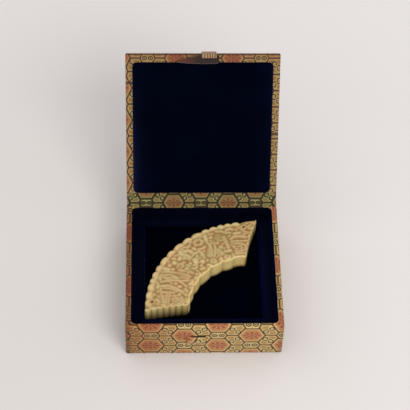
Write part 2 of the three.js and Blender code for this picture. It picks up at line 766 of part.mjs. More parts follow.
function acrossShares() {
  const roundedShare = edgeRoundWidth / bandWidth;
  const shares = roundingShares.map((share) => share * roundedShare);
  for (let step = 1; step < acrossSteps; step += 1) {
    shares.push(THREE.MathUtils.lerp(roundedShare, 1 - roundedShare, step / acrossSteps));
  }
  return [...shares, ...roundingShares.map((share) => 1 - share * roundedShare).reverse()];
}

// Carved top, upright walls from its outline, and a flat underside
function pendantSlab() {
  const alongs = alongShares();
  const acrosses = acrossShares();
  const columns = acrosses.length;
  const lastRow = alongs.length - 1;
  const lastColumn = columns - 1;
  const places = alongs.flatMap((along) => acrosses.map((across) => pendantPoint(along, across)));
  const points = places.map((place) => [place.x, place.y, carvedHeight(place)]);
  const faces = [];
  for (let i = 0; i < lastRow; i += 1) {
    for (let j = 0; j < lastColumn; j += 1) {
      const a = i * columns + j;
      const b = a + columns;
      faces.push([a, b + 1, b], [a, a + 1, b + 1]);
    }
  }
  const outline = [];
  for (let j = 0; j < lastColumn; j += 1) {
    outline.push(j);
  }
  for (let i = 0; i < lastRow; i += 1) {
    outline.push(i * columns + lastColumn);
  }
  for (let j = lastColumn; j > 0; j -= 1) {
    outline.push(lastRow * columns + j);
  }
  for (let i = lastRow; i > 0; i -= 1) {
    outline.push(i * columns);
  }
  const under = points.length;
  outline.forEach((top) => points.push([points[top][0], points[top][1], 0]));
  outline.forEach((top, i) => {
    const next = (i + 1) % outline.length;
    faces.push([top, under + i, under + next], [top, under + next, outline[next]]);
  });
  const contour = outline.map((top) => new THREE.Vector2(points[top][0], points[top][1]));
  THREE.ShapeUtils.triangulateShape(contour, []).forEach(([a, b, c]) => {
    faces.push([under + c, under + b, under + a]);
  });
  return closedGeometry(points, faces);
}

// An upright round at a cord hole's place, on one side of the axis
function atCordHole(side, topRadius, bottomRadius, bottom, top, sides) {
  const round = new THREE.CylinderGeometry(topRadius, bottomRadius, top - bottom, sides);
  const turned = degrees(side * cordHoleAngle);
  const reach = outerRadius - cordHoleInset;
  round.rotateX(Math.PI / 2);
  round.translate(-reach * Math.sin(turned), reach * Math.cos(turned), (top + bottom) / 2);
  return toSolid(round);
}

function addPendant(parent) {
  let slab = toSolid(pendantSlab());
  const ringTop = pendantThickness - cordRingSink;
  const holeRadius = cordHoleDiameter / 2;
  const holeTop = pendantThickness + cutOverrun;
  [-1, 1].forEach((side) => {
    const ring = atCordHole(side, cordRingTop, cordRingFoot, ringTop - 2 * fieldDepth, ringTop, ringSides);
    const drill = atCordHole(side, holeRadius, holeRadius, -cutOverrun, holeTop, holeSides);
    slab = slab.add(ring).subtract(drill);
  });
  const pendant = addPiece(parent, 'pendant', toGeometry(slab), jadeFinish());
  pendant.rotation.z = degrees(arcTurn);
  pendant.position.set(arcCentreX, arcCentreY, pendantBottom);
}

addBodyBoards(part);
addBodyBrocade(part);
addTray(part);
addLoopBand(part);
addHingeClothBase(part);
addPendant(part);

const lid = new THREE.Group();
lid.position.set(0, hingeY, hingeZ);
lid.rotation.x = -degrees(lidOpenAngle);
part.add(lid);
addLid(lid);
addStrapTail(lid);
addStrapLoop(lid);
addTogglePin(lid);

export default part;
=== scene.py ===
import math
from functools import partialmethod
import bmesh
import bpy
import numpy as np
from mathutils import Matrix, Vector
from mathutils.geometry import delaunay_2d_cdt


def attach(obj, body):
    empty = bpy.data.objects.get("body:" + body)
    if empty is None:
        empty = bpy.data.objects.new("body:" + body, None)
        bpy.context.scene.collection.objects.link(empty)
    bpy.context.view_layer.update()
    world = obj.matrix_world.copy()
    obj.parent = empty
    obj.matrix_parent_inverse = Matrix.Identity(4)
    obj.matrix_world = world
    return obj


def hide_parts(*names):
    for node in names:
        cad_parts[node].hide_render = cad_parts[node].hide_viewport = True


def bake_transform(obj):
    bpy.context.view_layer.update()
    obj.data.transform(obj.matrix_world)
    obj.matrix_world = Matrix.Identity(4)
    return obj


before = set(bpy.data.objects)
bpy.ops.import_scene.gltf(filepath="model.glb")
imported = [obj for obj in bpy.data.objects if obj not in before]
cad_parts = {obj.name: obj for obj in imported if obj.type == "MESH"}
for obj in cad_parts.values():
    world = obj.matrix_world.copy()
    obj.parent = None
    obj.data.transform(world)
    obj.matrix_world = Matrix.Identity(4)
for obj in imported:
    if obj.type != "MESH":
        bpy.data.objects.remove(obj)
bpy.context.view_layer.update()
mm = 0.001


# helpers for meshes, all in millimetres
def meshFrom(name, points, faces, smooth=True, sharp=35):
    # edges over the sharp angle, in degrees, stay hard
    mesh = bpy.data.meshes.new(name)
    mesh.from_pydata((np.asarray(points, float) * mm).tolist(), [], faces)
    mesh.validate()
    mesh.update()
    if smooth:
        mesh.shade_smooth()
        mesh.set_sharp_from_angle(angle=math.radians(sharp))
    thing = bpy.data.objects.new(name, mesh)
    bpy.context.scene.collection.objects.link(thing)
    return thing


def facesOut(thing):
    work = bmesh.new()
    work.from_mesh(thing.data)
    bmesh.ops.recalc_face_normals(work, faces=work.faces)
    work.to_mesh(thing.data)
    work.free()
    thing.data.update()


def gridFaces(rows, columns, closed=False):
    # quads between neighbouring rows of a grid; when closed, the last column joins the first
    i = np.arange(rows - 1)[:, None] * columns
    j = np.arange(columns if closed else columns - 1)[None, :]
    n = (j + 1) % columns
    return np.stack([i + j, i + n, i + columns + n, i + columns + j], -1).reshape(-1, 4)


def ringFaces(upper, lower):
    # quads between two closed rings of indices
    return np.stack([upper, lower, np.roll(lower, -1), np.roll(upper, -1)], -1).tolist()


def readAll(items, name, width=1, kind=float):
    # one property of all vertices, faces or loops as an array
    flat = np.empty(len(items) * width, kind)
    items.foreach_get(name, flat)
    return flat.reshape(-1, width) if width > 1 else flat


def vertexPlaces(thing):
    return readAll(thing.data.vertices, "co", 3) / mm


def addFloats(thing, name, values):
    layer = thing.data.attributes.new(name, "FLOAT", "POINT")
    layer.data.foreach_set("value", np.asarray(values, np.float32).ravel())


def addWeave(thing, u, v):
    # the cloth's own coordinates in millimetres, one pair for each face corner
    layer = thing.data.uv_layers.new(name="weave")
    layer.data.foreach_set("uv", np.column_stack([u, v]).astype(np.float32).ravel())


def runLength(points):
    # length along a line of points, from 0 at the first
    steps = np.hypot(*np.diff(np.array(points, float), axis=0).T)
    return np.concatenate([[0], np.cumsum(steps)])


def arcPoints(x, y, radius, start, end, steps=5):
    # centre + radius * (cos, sin), from one angle to another in degrees
    a = np.radians(np.linspace(start, end, steps + 1))
    return np.column_stack([x + radius * np.cos(a), y + radius * np.sin(a)]).tolist()


def smoothPath(points, count):
    # Catmull-Rom curve through the points, at even steps of its parameter
    points = np.array(points, float)
    p = np.vstack([2 * points[0] - points[1], points, 2 * points[-1] - points[-2]])
    t = np.linspace(0, len(points) - 1 - 1e-6, count)
    i = t.astype(int)
    f = (t - i)[:, None]
    a, b, c, d = (p[i + k] for k in range(4))
    bend, twist = 2 * a - 5 * b + 4 * c - d, 3 * b - a - 3 * c + d
    return 0.5 * (2 * b + (c - a) * f + bend * f ** 2 + twist * f ** 3)


def squareRing(halfX, halfY, corner, sideSteps=1, cornerSteps=5):
    # rounded square, anticlockwise: quarter arcs centre + corner * (cos, sin) joined by straight sides
    corner = max(min(corner, halfX, halfY), 1e-3)
    bends = []
    for quarter, (sx, sy) in enumerate([(1, 1), (-1, 1), (-1, -1), (1, -1)]):
        angle = (quarter + np.linspace(0, 1, cornerSteps + 1)) * math.pi / 2
        bends.append(np.column_stack([sx * (halfX - corner) + corner * np.cos(angle),
                                      sy * (halfY - corner) + corner * np.sin(angle)]))
    share = np.linspace(0, 1, sideSteps + 1)[1:-1, None]
    parts = []
    for bend, following in zip(bends, bends[1:] + bends[:1]):
        parts += [bend, bend[-1] + (following[0] - bend[-1]) * share]
    return np.concatenate(parts)


def sweptSquare(name, profile, half, corner, centreY=0.0, closed=False, sideSteps=1, sharp=35):
    # a profile of (inset, height) carried round a rounded square; an open one is capped at both ends
    cornerAt = corner if callable(corner) else lambda inset: max(corner - inset, 0.05)
    rings = [squareRing(half[0] - d, half[1] - d, cornerAt(d), sideSteps) for d, z in profile]
    count = len(rings[0])
    heights = np.repeat([z for d, z in profile], count)
    points = np.column_stack([np.concatenate(rings) + (0.0, centreY), heights])
    faces = (gridFaces(len(rings) + closed, count, True) % len(points)).tolist()
    if not closed:
        last = len(points) - count
        faces += [list(range(count))[::-1], list(range(last, last + count))]
    return meshFrom(name, points, faces, True, sharp)


def clothMap(thing, half, centreY, lengths, sides):
    # front and back: u = x, v = across, the length along the profile; a flat cap: v = across + y
    # left and right: u or v = across * first + y * second + third of its rule
    mesh = thing.data
    places, middles = vertexPlaces(thing), readAll(mesh.polygons, "center", 3) / mm
    ids, starts, totals = (readAll(items, name, kind=int) for items, name in (
        (mesh.loops, "vertex_index"), (mesh.polygons, "loop_start"), (mesh.polygons, "loop_total")))
    rows = ids // (len(places) // len(lengths))
    low, high = (np.repeat(pick.reduceat(rows, starts), totals) for pick in (np.minimum, np.maximum))
    across = lengths[rows]
    # the last stretch of a closed profile runs on past its end
    across[(high - low > 1) & (rows == low)] = lengths[-1] + 0.5
    side = np.abs(middles[:, 0]) / half > np.abs(middles[:, 1] - centreY) / half
    onSide = np.repeat(side, totals) & (high > low)
    x, y = places[ids, 0], places[ids, 1] - centreY
    u, v = x, np.where(high == low, across + y + half, across)
    for sign, (uRule, vRule) in zip((-1, 1), sides):
        here = onSide & (x * sign > 0)
        u = np.where(here, across * uRule[0] + y * uRule[1] + uRule[2], u)
        v = np.where(here, across * vRule[0] + y * vRule[1] + vRule[2], v)
    addWeave(thing, u, v)


# helpers for materials: an operator on a wire adds its Math node
class Wire:
    def __init__(self, tree, socket):
        self.tree, self.socket = tree, socket

    def calc(self, kind, *others):
        node = self.tree.nodes.new("ShaderNodeMath")
        node.operation = kind
        for slot, value in zip(node.inputs, (self,) + others):
            plug(self.tree, slot, value)
        return Wire(self.tree, node.outputs[0])

    def flipped(self, kind, other):
        return (self * -1.0).calc(kind, other)

    def clamp(self):
        return self.larger(0.0).smaller(1.0)

    __add__ = __radd__ = partialmethod(calc, "ADD")
    __mul__ = __rmul__ = partialmethod(calc, "MULTIPLY")
    __sub__ = partialmethod(calc, "SUBTRACT")
    __rsub__ = partialmethod(flipped, "ADD")
    size = partialmethod(calc, "ABSOLUTE")
    smaller = partialmethod(calc, "MINIMUM")
    larger = partialmethod(calc, "MAXIMUM")
    under = partialmethod(calc, "LESS_THAN")
    wave = partialmethod(calc, "SINE")
    root = partialmethod(calc, "SQRT")


def plug(tree, slot, value):
    if isinstance(value, Wire):
        tree.links.new(value.socket, slot)
    else:
        slot.default_value = value


class Finish:
    # one material: a Principled shader and the nodes that feed it
    def __init__(self, name, **fixed):
        self.material = bpy.data.materials.new(name)
        self.material.use_nodes = True
        self.tree = self.material.node_tree
        self.shader = next(n for n in self.tree.nodes if n.type == "BSDF_PRINCIPLED")
        self.feed(**fixed)

    def feed(self, **inputs):
        for key, value in inputs.items():
            plug(self.tree, self.shader.inputs[key.replace("_", " ")], value)

    def wires(self, kind, settings, inputs):
        node = self.tree.nodes.new("ShaderNode" + kind)
        for key, value in settings.items():
            setattr(node, key, value)
        for key, value in inputs.items():
            plug(self.tree, node.inputs[key], value)
        return [Wire(self.tree, slot) for slot in node.outputs]

    def place(self):
        # the fourth output is Object, the second Normal
        return self.wires("TexCoord", {}, {})[3]

    def weave(self):
        return self.split(self.wires("UVMap", {"uv_map": "weave"}, {})[0])[:2]

    def split(self, vector):
        return self.wires("SeparateXYZ", {}, {0: vector})

    def noise(self, vector, scale, detail=3.0, rough=0.5):
        inputs = {"Vector": vector, "Scale": scale, "Detail": detail, "Roughness": rough}
        return self.wires("TexNoise", {}, inputs)[0]

    def mix(self, share, a, b, kind="MIX"):
        return self.wires("Mix", {"data_type": "RGBA", "blend_type": kind}, {0: share, 6: a, 7: b})[2]

    def attribute(self, name):
        return self.wires("Attribute", {"attribute_name": name}, {})[2]

    def bump(self, height, strength, distance):
        inputs = {"Strength": strength, "Distance": distance, "Height": height}
        self.feed(Normal=self.wires("Bump", {}, inputs)[0])


def tone(r, g, b):
    # a written 0-255 colour as linear light
    parts = [c / 255 / 12.92 if c <= 10 else ((c / 255 + 0.055) / 1.055) ** 2.4 for c in (r, g, b)]
    return (*parts, 1.0)


def dress(thing, finish):
    thing.data.materials.clear()
    thing.data.materials.append(finish)


print("stage: helpers ready")

# brocade: flattened hexagons with flowers, small hexagons with curls, scrolled cells between
weave = {
    "repeat": (42.6, 22.2),
    "flowerHalf": (8.7, 7.4), "flowerFlat": 4.7, "flowerSquash": (0.78, 1.12), "petalReach": (1.0, 4.7),
    "veinReach": (1.4, 4.3), "heartRadius": 1.3,
    "cloudHalf": (5.6, 3.7), "cloudFlat": 3.9, "curlAt": 2.3, "curlRadius": 1.55,
    "scrollTurn": 0.75, "scrollSize": 2.2, "wobble": (0.7, 0.5), "threads": (11.0, 14.0),
    "ground": tone(190, 134, 80), "cell": tone(186, 154, 96), "cloud": tone(190, 168, 112),
    "flowerGround": tone(202, 146, 94), "line": tone(80, 56, 16), "edge": tone(240, 220, 160),
    "petal": tone(148, 62, 48), "heart": tone(186, 104, 84), "scroll": tone(70, 50, 12),
    "edgeShadeTone": tone(60, 30, 16), "slitShadow": tone(44, 26, 12), "frontEdgeShade": (0.86, 0.68, 0.58, 1.0),
}


def hexEdge(x, y, half, flat):
    # signed distance to a flat-topped hexagon from folded coordinates
    run = math.hypot(half[0] - flat, half[1])
    nx, ny = half[1] / run, (half[0] - flat) / run
    return (x * nx + y * ny - nx * half[0]).larger(y - half[1])


def curlLine(x, y, radius):
    # distance to a ring with a dot in its middle
    far = (x * x + y * y).root()
    return (far - radius).size().smaller((far - 0.2).larger(0.0))


def scrollLine(x, y, turn, size):
    # distance to an S through the middle: each half runs once round, its radius falling to 0.5 of the size
    dx, dy = math.cos(turn), math.sin(turn)
    half = (x * dx + y * dy).calc("SIGN")
    along, across = (x * dx + y * dy) * half - size, (y * dx - x * dy) * half
    lap = (across.calc("ARCTAN2", along) + math.pi) * (0.5 / math.pi)
    return ((along * along + across * across).root() - (1.0 - lap * 0.5) * size).size()


def ramp(value, start, slope):
    # 0 up to the start, then rising with the slope to 1
    return ((value - start) * slope).clamp()


def brocade(name, scale, shift, cast, paintedEdgeShade=None, shades=(), bold=0.0):
    w = weave
    f = Finish(name, Roughness=0.62, Sheen_Weight=0.12, Sheen_Roughness=0.4, Specular_IOR_Level=0.35)
    u, plainV = f.weave()
    place = f.place()
    wobble = f.noise(place, 160.0, 1.0) - 0.5
    u = (u - shift[0]) * (1.0 / scale) + wobble * w["wobble"][0]
    v = (plainV - shift[1]) * (1.0 / scale) + wobble * w["wobble"][1]
    px, py = w["repeat"]
    # fold into a quarter of the repeat: one flower sits at its corner, the twin half a repeat away
    ax, ay = u.calc("PINGPONG", px / 2), v.calc("PINGPONG", py / 2)
    bx, by = px / 2 - ax, py / 2 - ay
    flowerA, flowerB = (hexEdge(x, y, w["flowerHalf"], w["flowerFlat"]) for x, y in ((ax, ay), (bx, by)))
    cloudA, cloudB = (hexEdge(x, y, w["cloudHalf"], w["cloudFlat"]) for x, y in ((bx, ay), (ax, by)))
    flower, cloud = flowerA.smaller(flowerB), cloudA.smaller(cloudB)
    # straight links between the points of big and small hexagons
    near, far = w["flowerHalf"][0], px / 2 - w["cloudHalf"][0]
    linkA, linkB = (y.larger(near - x).larger(x - far) for x, y in ((ax, ay), (bx, by)))
    line = flower.size().smaller(cloud.size()).smaller(linkA.size()).smaller(linkB.size())
    inFlower, inCloud = flower.under(0.0), cloud.under(0.0)
    # flower: eight petals |cos 4a| round a heart, wider than tall
    nearB = flowerB.under(flowerA)
    fx = (ax + (bx - ax) * nearB) * w["flowerSquash"][0]
    fy = (ay + (by - ay) * nearB) * w["flowerSquash"][1]
    radius = (fx * fx + fy * fy).root()
    petals = (fy.calc("ARCTAN2", fx + 0.001) * 4.0).calc("COSINE").size()
    petal, vein = (
        ramp(petals, least, steep) * ((high - radius) * fade).clamp() * ramp(radius, low, 2.0)
        for least, steep, fade, low, high in ((0.45, 3.0, 1.6, *w["petalReach"]),
                                              (0.82, 8.0, 2.0, *w["veinReach"])))
    heart = (w["heartRadius"] - radius).clamp()
    # curls: a ringed dot in the small hexagons, an S in the cells
    nearC = cloudB.under(cloudA)
    cx = bx + (ax - bx) * nearC - w["curlAt"]
    cy = (ay + (by - ay) * nearC) * 1.1
    curl = curlLine(cx, cy, w["curlRadius"]) + (1.0 - inCloud) * 9.0
    scroll = scrollLine(ax - px / 4, ay - py / 4, w["scrollTurn"], w["scrollSize"])
    scroll = scroll + (inFlower + inCloud) * 9.0
    thin = (1.65 + bold * 0.5 - scroll.smaller(curl) * 2.9).clamp()
    thick = (1.6 + bold - line * 2.6).clamp()
    rim = (1.25 - (line - 1.15).size() * 2.6).clamp()
    halo = (1.4 - (scroll.smaller(curl) - 0.85).size() * 2.6).clamp()
    # threads: fine ribs across the weft
    ribs = ((u * w["threads"][0]).wave() * 0.5 + 0.5) * ((v * w["threads"][1]).wave() * 0.5 + 0.5)
    patches = f.noise(place, 34.0, 3.0)
    base = f.mix(inCloud, w["cell"], w["cloud"])
    for share, colour in (
            (ramp(patches, 0.42, 5.0) * 0.7, "ground"), (inFlower, "flowerGround"), (rim * 0.8, "edge"),
            (halo * (1.0 - inFlower) * 0.85, "edge"), (petal * inFlower * 0.75, "heart"),
            (vein * inFlower * 0.9, "petal"), (heart * inFlower * 0.8, "petal"),
            (thin * (1.0 - inFlower) * 0.95, "scroll"), (thick, "line")):
        base = f.mix(share, base, w[colour])
    base = f.mix(0.25, base, f.mix(ribs, (0.25, 0.25, 0.25, 1), (1, 1, 1, 1)), "MULTIPLY")
    # an overall cast: on the case a tint, on the lid and the hinge mostly painted shade
    base = f.mix(1.0, base, cast, "MULTIPLY")
    # painted shade: a dark band over the lid's rounded inner edge, between two places along the cloth
    if paintedEdgeShade:
        low, high = paintedEdgeShade
        band = 1.0 - ((plainV - (low + high) / 2).size() * 3.0 - (high - low) * 1.5).clamp()
        base = f.mix(band * 0.85, base, w["edgeShadeTone"])
    # painted shade along the lid's front edge, where the attribute says
    base = f.mix(f.attribute("deep"), base, f.mix(1.0, base, w["frontEdgeShade"], "MULTIPLY"))
    # painted shadow in the loop band's openings
    base = f.mix(f.attribute("slitShadow"), base, w["slitShadow"])
    # painted shade deepens the cloth along an axis: share = slope * place + offset
    for axis, slope, offset, colour in shades:
        share = (f.split(place)[axis] * slope + offset).clamp()
        base = f.mix(share, base, f.mix(1.0, base, colour, "MULTIPLY"))
    f.feed(Base_Color=base)
    f.bump(ribs * 0.6 - thick * 0.5 + rim * 0.4, 0.5, 0.0001)
    return f.material


def strapCloth(name):
    # cream and olive strands side by side, a little uneven, with dark threads between: |sin| across the strap
    f = Finish(name, Roughness=0.7, Sheen_Weight=0.15, Specular_IOR_Level=0.3)
    u, v = f.weave()
    drift = f.noise(f.place(), 240.0, 2.0) - 0.5
    strands = ((u + v * 0.12 + drift * 1.6) * (math.pi / 1.7)).wave().size()
    twist = ((u * 2.1 + v * 4.2).wave() * 0.5 + 0.5) * 0.45
    strand = f.mix(f.noise(f.place(), 400.0, 2.0), tone(150, 116, 78), tone(188, 156, 122))
    base = f.mix((strands * 1.6 - 0.3).clamp(), tone(66, 44, 26), strand)
    f.feed(Base_Color=f.mix(twist, base, tone(112, 74, 44)))
    f.bump(strands, 0.6, 0.0003)
    return f.material


def velvet(name):
    # near black pile, bluer and paler where the attribute says so: an even nap, and painted sheen
    f = Finish(name, Sheen_Weight=0.25, Sheen_Roughness=0.35, Sheen_Tint=(0.01, 0.05, 0.5, 1),
               Specular_IOR_Level=0.0)
    pile = f.noise(f.place(), 2600.0, 2.0, 0.7)
    nap = f.noise(f.place(), 45.0, 2.0)
    napAndSheen = f.attribute("napAndSheen") * (0.5 + nap * 0.5) * (0.6 + pile * 0.4)
    base = f.mix(napAndSheen, f.mix(nap, tone(0, 1, 4), tone(0, 3, 12)), tone(26, 30, 62))
    f.feed(Base_Color=base, Roughness=0.8 + pile * 0.2)
    f.bump(pile, 0.35, 0.0001)
    return f.material


# stone: tan ground; cream on the heights, partly wear and partly painted highlight; orange brown creases in
# painted shade; greenish pale rims and walls, partly tint and partly painted light
stone = {
    "ground": (tone(158, 121, 67), tone(154, 131, 76)), "worn": (tone(211, 177, 128), tone(203, 184, 130)),
    "wall": (tone(244, 212, 136), tone(240, 221, 156)), "vein": tone(168, 124, 68),
    "blotch": tone(208, 188, 138), "rim": tone(210, 190, 126), "creaseShade": tone(140, 98, 42),
    "paintedUnderShade": tone(52, 34, 2), "speck": tone(160, 120, 70),
}


def jadeStone(name):
    f = Finish(name, Subsurface_Weight=0.15, Subsurface_Scale=0.0015, Subsurface_Radius=(1.0, 0.7, 0.4),
               Specular_IOR_Level=0.45, Coat_Weight=0.1, Coat_Roughness=0.35)
    place = f.place()
    height, creaseShade, rim, wall, paintedUnderShade = (f.attribute(k) for k in ("carved", "creaseShade", "rim", "wall", "paintedUnderShade"))
    veins, patch = f.noise(place, 60.0, 5.0, 0.6), f.noise(place, 30.0, 3.0)
    blotch, fine = f.noise(place, 170.0, 2.0), f.noise(place, 700.0, 3.0)
    tint = ((patch - 0.5) * 3.0 + (blotch - 0.5) * 3.5 + 0.5).clamp()
    ground, worn, pale = (f.mix(tint, *stone[k]) for k in ("ground", "worn", "wall"))
    # paler on the heights: partly wear and partly painted highlight
    base = f.mix((height * 1.6 - 0.35).clamp(), ground, worn)
    # pale rims and walls: partly the stone's tint and partly painted light; creases and the underside:
    # painted shade
    for share, colour in (
            (ramp(veins, 0.48, 5.0) * 0.45, stone["vein"]), (ramp(blotch, 0.56, 6.0) * 0.35, stone["blotch"]),
            (rim * 0.5, stone["rim"]), (wall * 0.9, pale), ((creaseShade * 1.1).clamp() * 0.5, stone["creaseShade"]),
            (paintedUnderShade, stone["paintedUnderShade"]), (ramp(fine, 0.35, 2.0) * 0.15, stone["speck"])):
        base = f.mix(share, base, colour)
    f.feed(Base_Color=base, Roughness=0.32 + fine * 0.2)
    f.bump(fine * 0.5 + veins * 0.5, 0.2, 0.0002)
    return f.material


def horn(name):
    # dark polished slip: lengthwise streaks, redder towards the tip, and a painted highlight on its lower
    # bevel
    f = Finish(name, Specular_IOR_Level=0.25)
    x = f.split(f.place())[0]
    _, ny, nz = f.split(f.wires("TexCoord", {}, {})[1])
    stretched = f.wires("Mapping", {}, {"Vector": f.place(), "Scale": (40.0, 400.0, 400.0)})[0]
    streaks = f.noise(stretched, 1.0, 3.0)
    # painted highlight: paler where the surface faces forward and a little down, on the lower bevel
    worn = ramp(ny * -0.957 + nz * -0.291, 0.93, 20.0)
    base = f.mix(streaks, tone(22, 12, 9), tone(46, 26, 18))
    base = f.mix((x * -90.0 - 0.3).clamp() * 0.7, base, tone(98, 48, 31))
    base = f.mix(worn * 0.5, base, tone(146, 134, 130))
    f.feed(Base_Color=base, Roughness=0.4 + streaks * 0.15)
    f.bump(streaks, 0.15, 0.0001)
    return f.material


def fibrous(name, rough, scale, detail, dark, pale, strength, distance):
    # a plain matt stuff: one fine noise for its colour and its bump
    f = Finish(name, Roughness=rough)
    fibres = f.noise(f.place(), scale, detail, 0.7)
    f.feed(Base_Color=f.mix(fibres, dark, pale))
    f.bump(fibres, strength, distance)
    return f.material


# painted shade on the case: darker towards the left, and on the far left and far right sides
caseCloth = brocade("brocadeCase", 1.0, (8.5, 8.9), (0.82, 0.78, 0.70, 1), shades=[
    (0, -24.0, -0.15, (0.68, 0.48, 0.32, 1)), (0, -400.0, -18.4, (0.60, 0.54, 0.50, 1)),
    (0, 400.0, -18.4, (0.80, 0.76, 0.74, 1))])
# the lid's and the hinge's copies of the one brocade are cast darker and duller than the case's: painted
# shade
lidCloth = brocade("brocadeLid", 0.86, (-17.5, 2.6), (0.53, 0.465, 0.375, 1), paintedEdgeShade=(-0.9, 0.35))
hingeCloth = brocade("brocadeHinge", 0.855, (-18.75, -1.9), (0.40, 0.45, 0.32, 1), bold=1.3)
strapFinish = strapCloth("strapStrands")
velvetFinish = velvet("blueBlackVelvet")
jadeFinish = jadeStone("honeyJade")
hornFinish = horn("darkHorn")
boardFinish = fibrous("pressedBoard", 0.9, 900.0, 4.0, tone(150, 132, 104), tone(184, 166, 134), 0.3, 0.0002)
paperFinish = fibrous("plainPaper", 0.85, 1500.0, 4.0, tone(196, 186, 162), tone(214, 205, 184), 0.2, 0.0001)
foamFinish = fibrous("softPacking", 0.95, 1800.0, 2.0, tone(208, 204, 194), tone(232, 229, 220), 0.4, 0.0003)

# the boards, the paper and the packing block keep their CAD solids
nodeFinish = {"well_block": foamFinish, "base_paper": paperFinish}
for node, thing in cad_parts.items():
    thing.data.materials.clear()
    thing.data.materials.append(nodeFinish.get(node, boardFinish))

print("stage: materials ready")

# the lid's pieces are made shut, with the hinge at zero, and turned open
hinge = {"y": 51.8, "z": 30.2, "open": 118.1}
lidTurn = (Matrix.Translation((0, hinge["y"] * mm, hinge["z"] * mm))
           @ Matrix.Rotation(-math.radians(hinge["open"]), 4, "X"))


def intoLid(thing):
    thing.data.transform(lidTurn)
    thing.data.update()
    return thing


# case cover: cloth over the walls and rim, turned in at top and bottom
cover = {"half": 50.0, "bottom": 0.3, "middle": 14.0, "top": 29.7, "rim": 3.4, "cloth": 0.4, "lap": 0.05,
         "turnIn": 6.0, "under": 9.0, "corner": 0.9, "edge": 0.7, "cornerStart": 0.8, "openCorner": 3.2,
         "sides": [((0, 1, 26.2), (1, 0, 0)), ((0, 1, 10.3), (1, 0, 0))]}


def caseCover():
    # profile up the wall, round the rim, down inside, and back behind itself
    c = cover
    e, low, high = c["edge"], c["bottom"], c["top"]
    outline = [(c["under"], low)] + arcPoints(e, low + e, e, 270, 180) + [(0.0, c["middle"])]
    outline += arcPoints(e, high - e, e, 180, 90) + arcPoints(c["rim"] - e, high - e, e, 90, 0)
    outline += [(c["rim"], high - c["turnIn"])]
    inside = c["rim"] - c["cloth"] + c["lap"]
    profile = outline + [(inside, high - c["turnIn"]), (inside, high - e), (c["cloth"], high - e),
                         (c["cloth"], low + c["cloth"]), (c["under"], low + c["cloth"])]

    def cornerAt(inset):
        # sharp outside, rounded by the turned-in cloth inside
        share = min(max((inset - c["cornerStart"]) / (c["rim"] - c["cornerStart"]), 0.0), 1.0)
        return c["corner"] + (c["openCorner"] - c["corner"]) * share
    thing = sweptSquare("caseCover", profile, (c["half"], c["half"]), cornerAt, closed=True, sideSteps=10)
    lengths = runLength(profile)
    clothMap(thing, c["half"], 0.0, lengths - lengths[1] - e, c["sides"])
    dress(thing, caseCloth)
    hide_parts("base_brocade")
    # the flat cloth is four sides long, less what is cut away at its folded corners
    around, blank = 8 * c["half"], runLength(outline)[-1]
    print("case cloth, flat, mm:", around, round(blank, 1))
    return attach(thing, "case")


# lid cover: a flat cloth-covered board, its inner face turned in round the pad
lidShell = {"half": 50.0, "low": 0.5, "high": 3.3, "edge": 0.6, "turnIn": 9.0, "fold": 0.35, "corner": 1.0,
            "deepFrom": -93.0, "deepOver": 5.0, "deepBelow": 2.0,
            "sides": [((-1, 0, -20.8), (0, 0.86, 26.058)), ((1, 0, -10.5), (0, 0.86, -4.3))]}


def lidCover():
    g = lidShell
    e, half = g["edge"], g["half"]
    profile = [(g["turnIn"], g["low"] + g["fold"]), (g["turnIn"], g["low"])]
    profile += arcPoints(e, g["low"] + e, e, 270, 180) + arcPoints(e, g["high"] - e, e, 180, 90)
    thing = sweptSquare("lidCover", profile, (half, half), g["corner"], -hinge["y"], sideSteps=10)
    lengths = runLength(profile)
    clothMap(thing, half, -hinge["y"], g["turnIn"] - (lengths - lengths[1]), g["sides"])
    # painted shade: the turned-in cloth along the front edge is darkened
    _, y, z = vertexPlaces(thing).T
    addFloats(thing, "deep", np.clip((g["deepFrom"] - y) / g["deepOver"], 0, 1) * (z < g["deepBelow"]))
    dress(thing, lidCloth)
    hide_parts("lid_brocade")
    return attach(intoLid(thing), "lid")


# wadded pads; painted sheen in a strip along the left edge, strongest towards the hinge, and a faint one on
# the right, over an even nap
pads = [
    {"name": "lidPad", "node": "lid_velvet_pad", "body": "lid", "half": (45.5, 45.5), "corner": 3.0,
     "bottom": 0.0, "thick": 1.5, "edge": 3.2, "rise": 0.15, "centreY": -51.0, "up": 0.2,
     "nap": 0.09, "napAndSheen": 1.0},
    {"name": "wellPad", "node": "well_pad", "body": "case", "half": (38.0, 36.9), "corner": 2.5,
     "bottom": 9.1, "thick": 4.2, "edge": 1.6, "rise": 0.1, "centreY": 2.1, "up": 0.0,
     "nap": 0.0, "napAndSheen": 0.0},
]


def pad(p):
    # upright foot, quarter-ellipse shoulder, then a crown: height = thick - rise * (1 - share) squared
    half, edge, low, shoulder = p["half"], p["edge"], p["bottom"], p["thick"] - p["rise"]
    t = np.linspace(0, math.pi / 2, 9)[1:]
    share = np.array([0.1, 0.25, 0.45, 0.7, 0.95])
    profile = [(0.25, low), (0.0, low + 0.25)]
    profile += zip(edge - edge * np.cos(t), low + shoulder - (shoulder - 0.3) * (1 - np.sin(t)))
    profile += zip(edge + share * (min(half) - edge), low + p["thick"] - p["rise"] * (1 - share) ** 2)
    thing = sweptSquare(p["name"], profile, half, p["corner"], p["centreY"], sideSteps=12, sharp=70)
    dress(thing, velvetFinish)
    x, y, _ = vertexPlaces(thing).T
    fade = np.clip(1 - (y - p["centreY"]) / half[1], 0.2, 1.6)
    strips = 0.6 * np.exp(-(half[0] + x) / 2.6) * fade + 0.25 * np.exp(-(half[0] - x) / 2.5)
    addFloats(thing, "napAndSheen", p["nap"] + p["napAndSheen"] * strips)
    if p["body"] == "lid":
        # turned over about its own middle, face down on the lid
        middle = Matrix.Translation((0, p["centreY"] * mm, 0))
        lift = Matrix.Translation((0, 0, p["up"] * mm))
        thing.data.transform(lift @ middle @ Matrix.Rotation(math.pi, 4, "X") @ middle.inverted())
        intoLid(thing)
    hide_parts(p["node"])
    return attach(thing, p["body"])
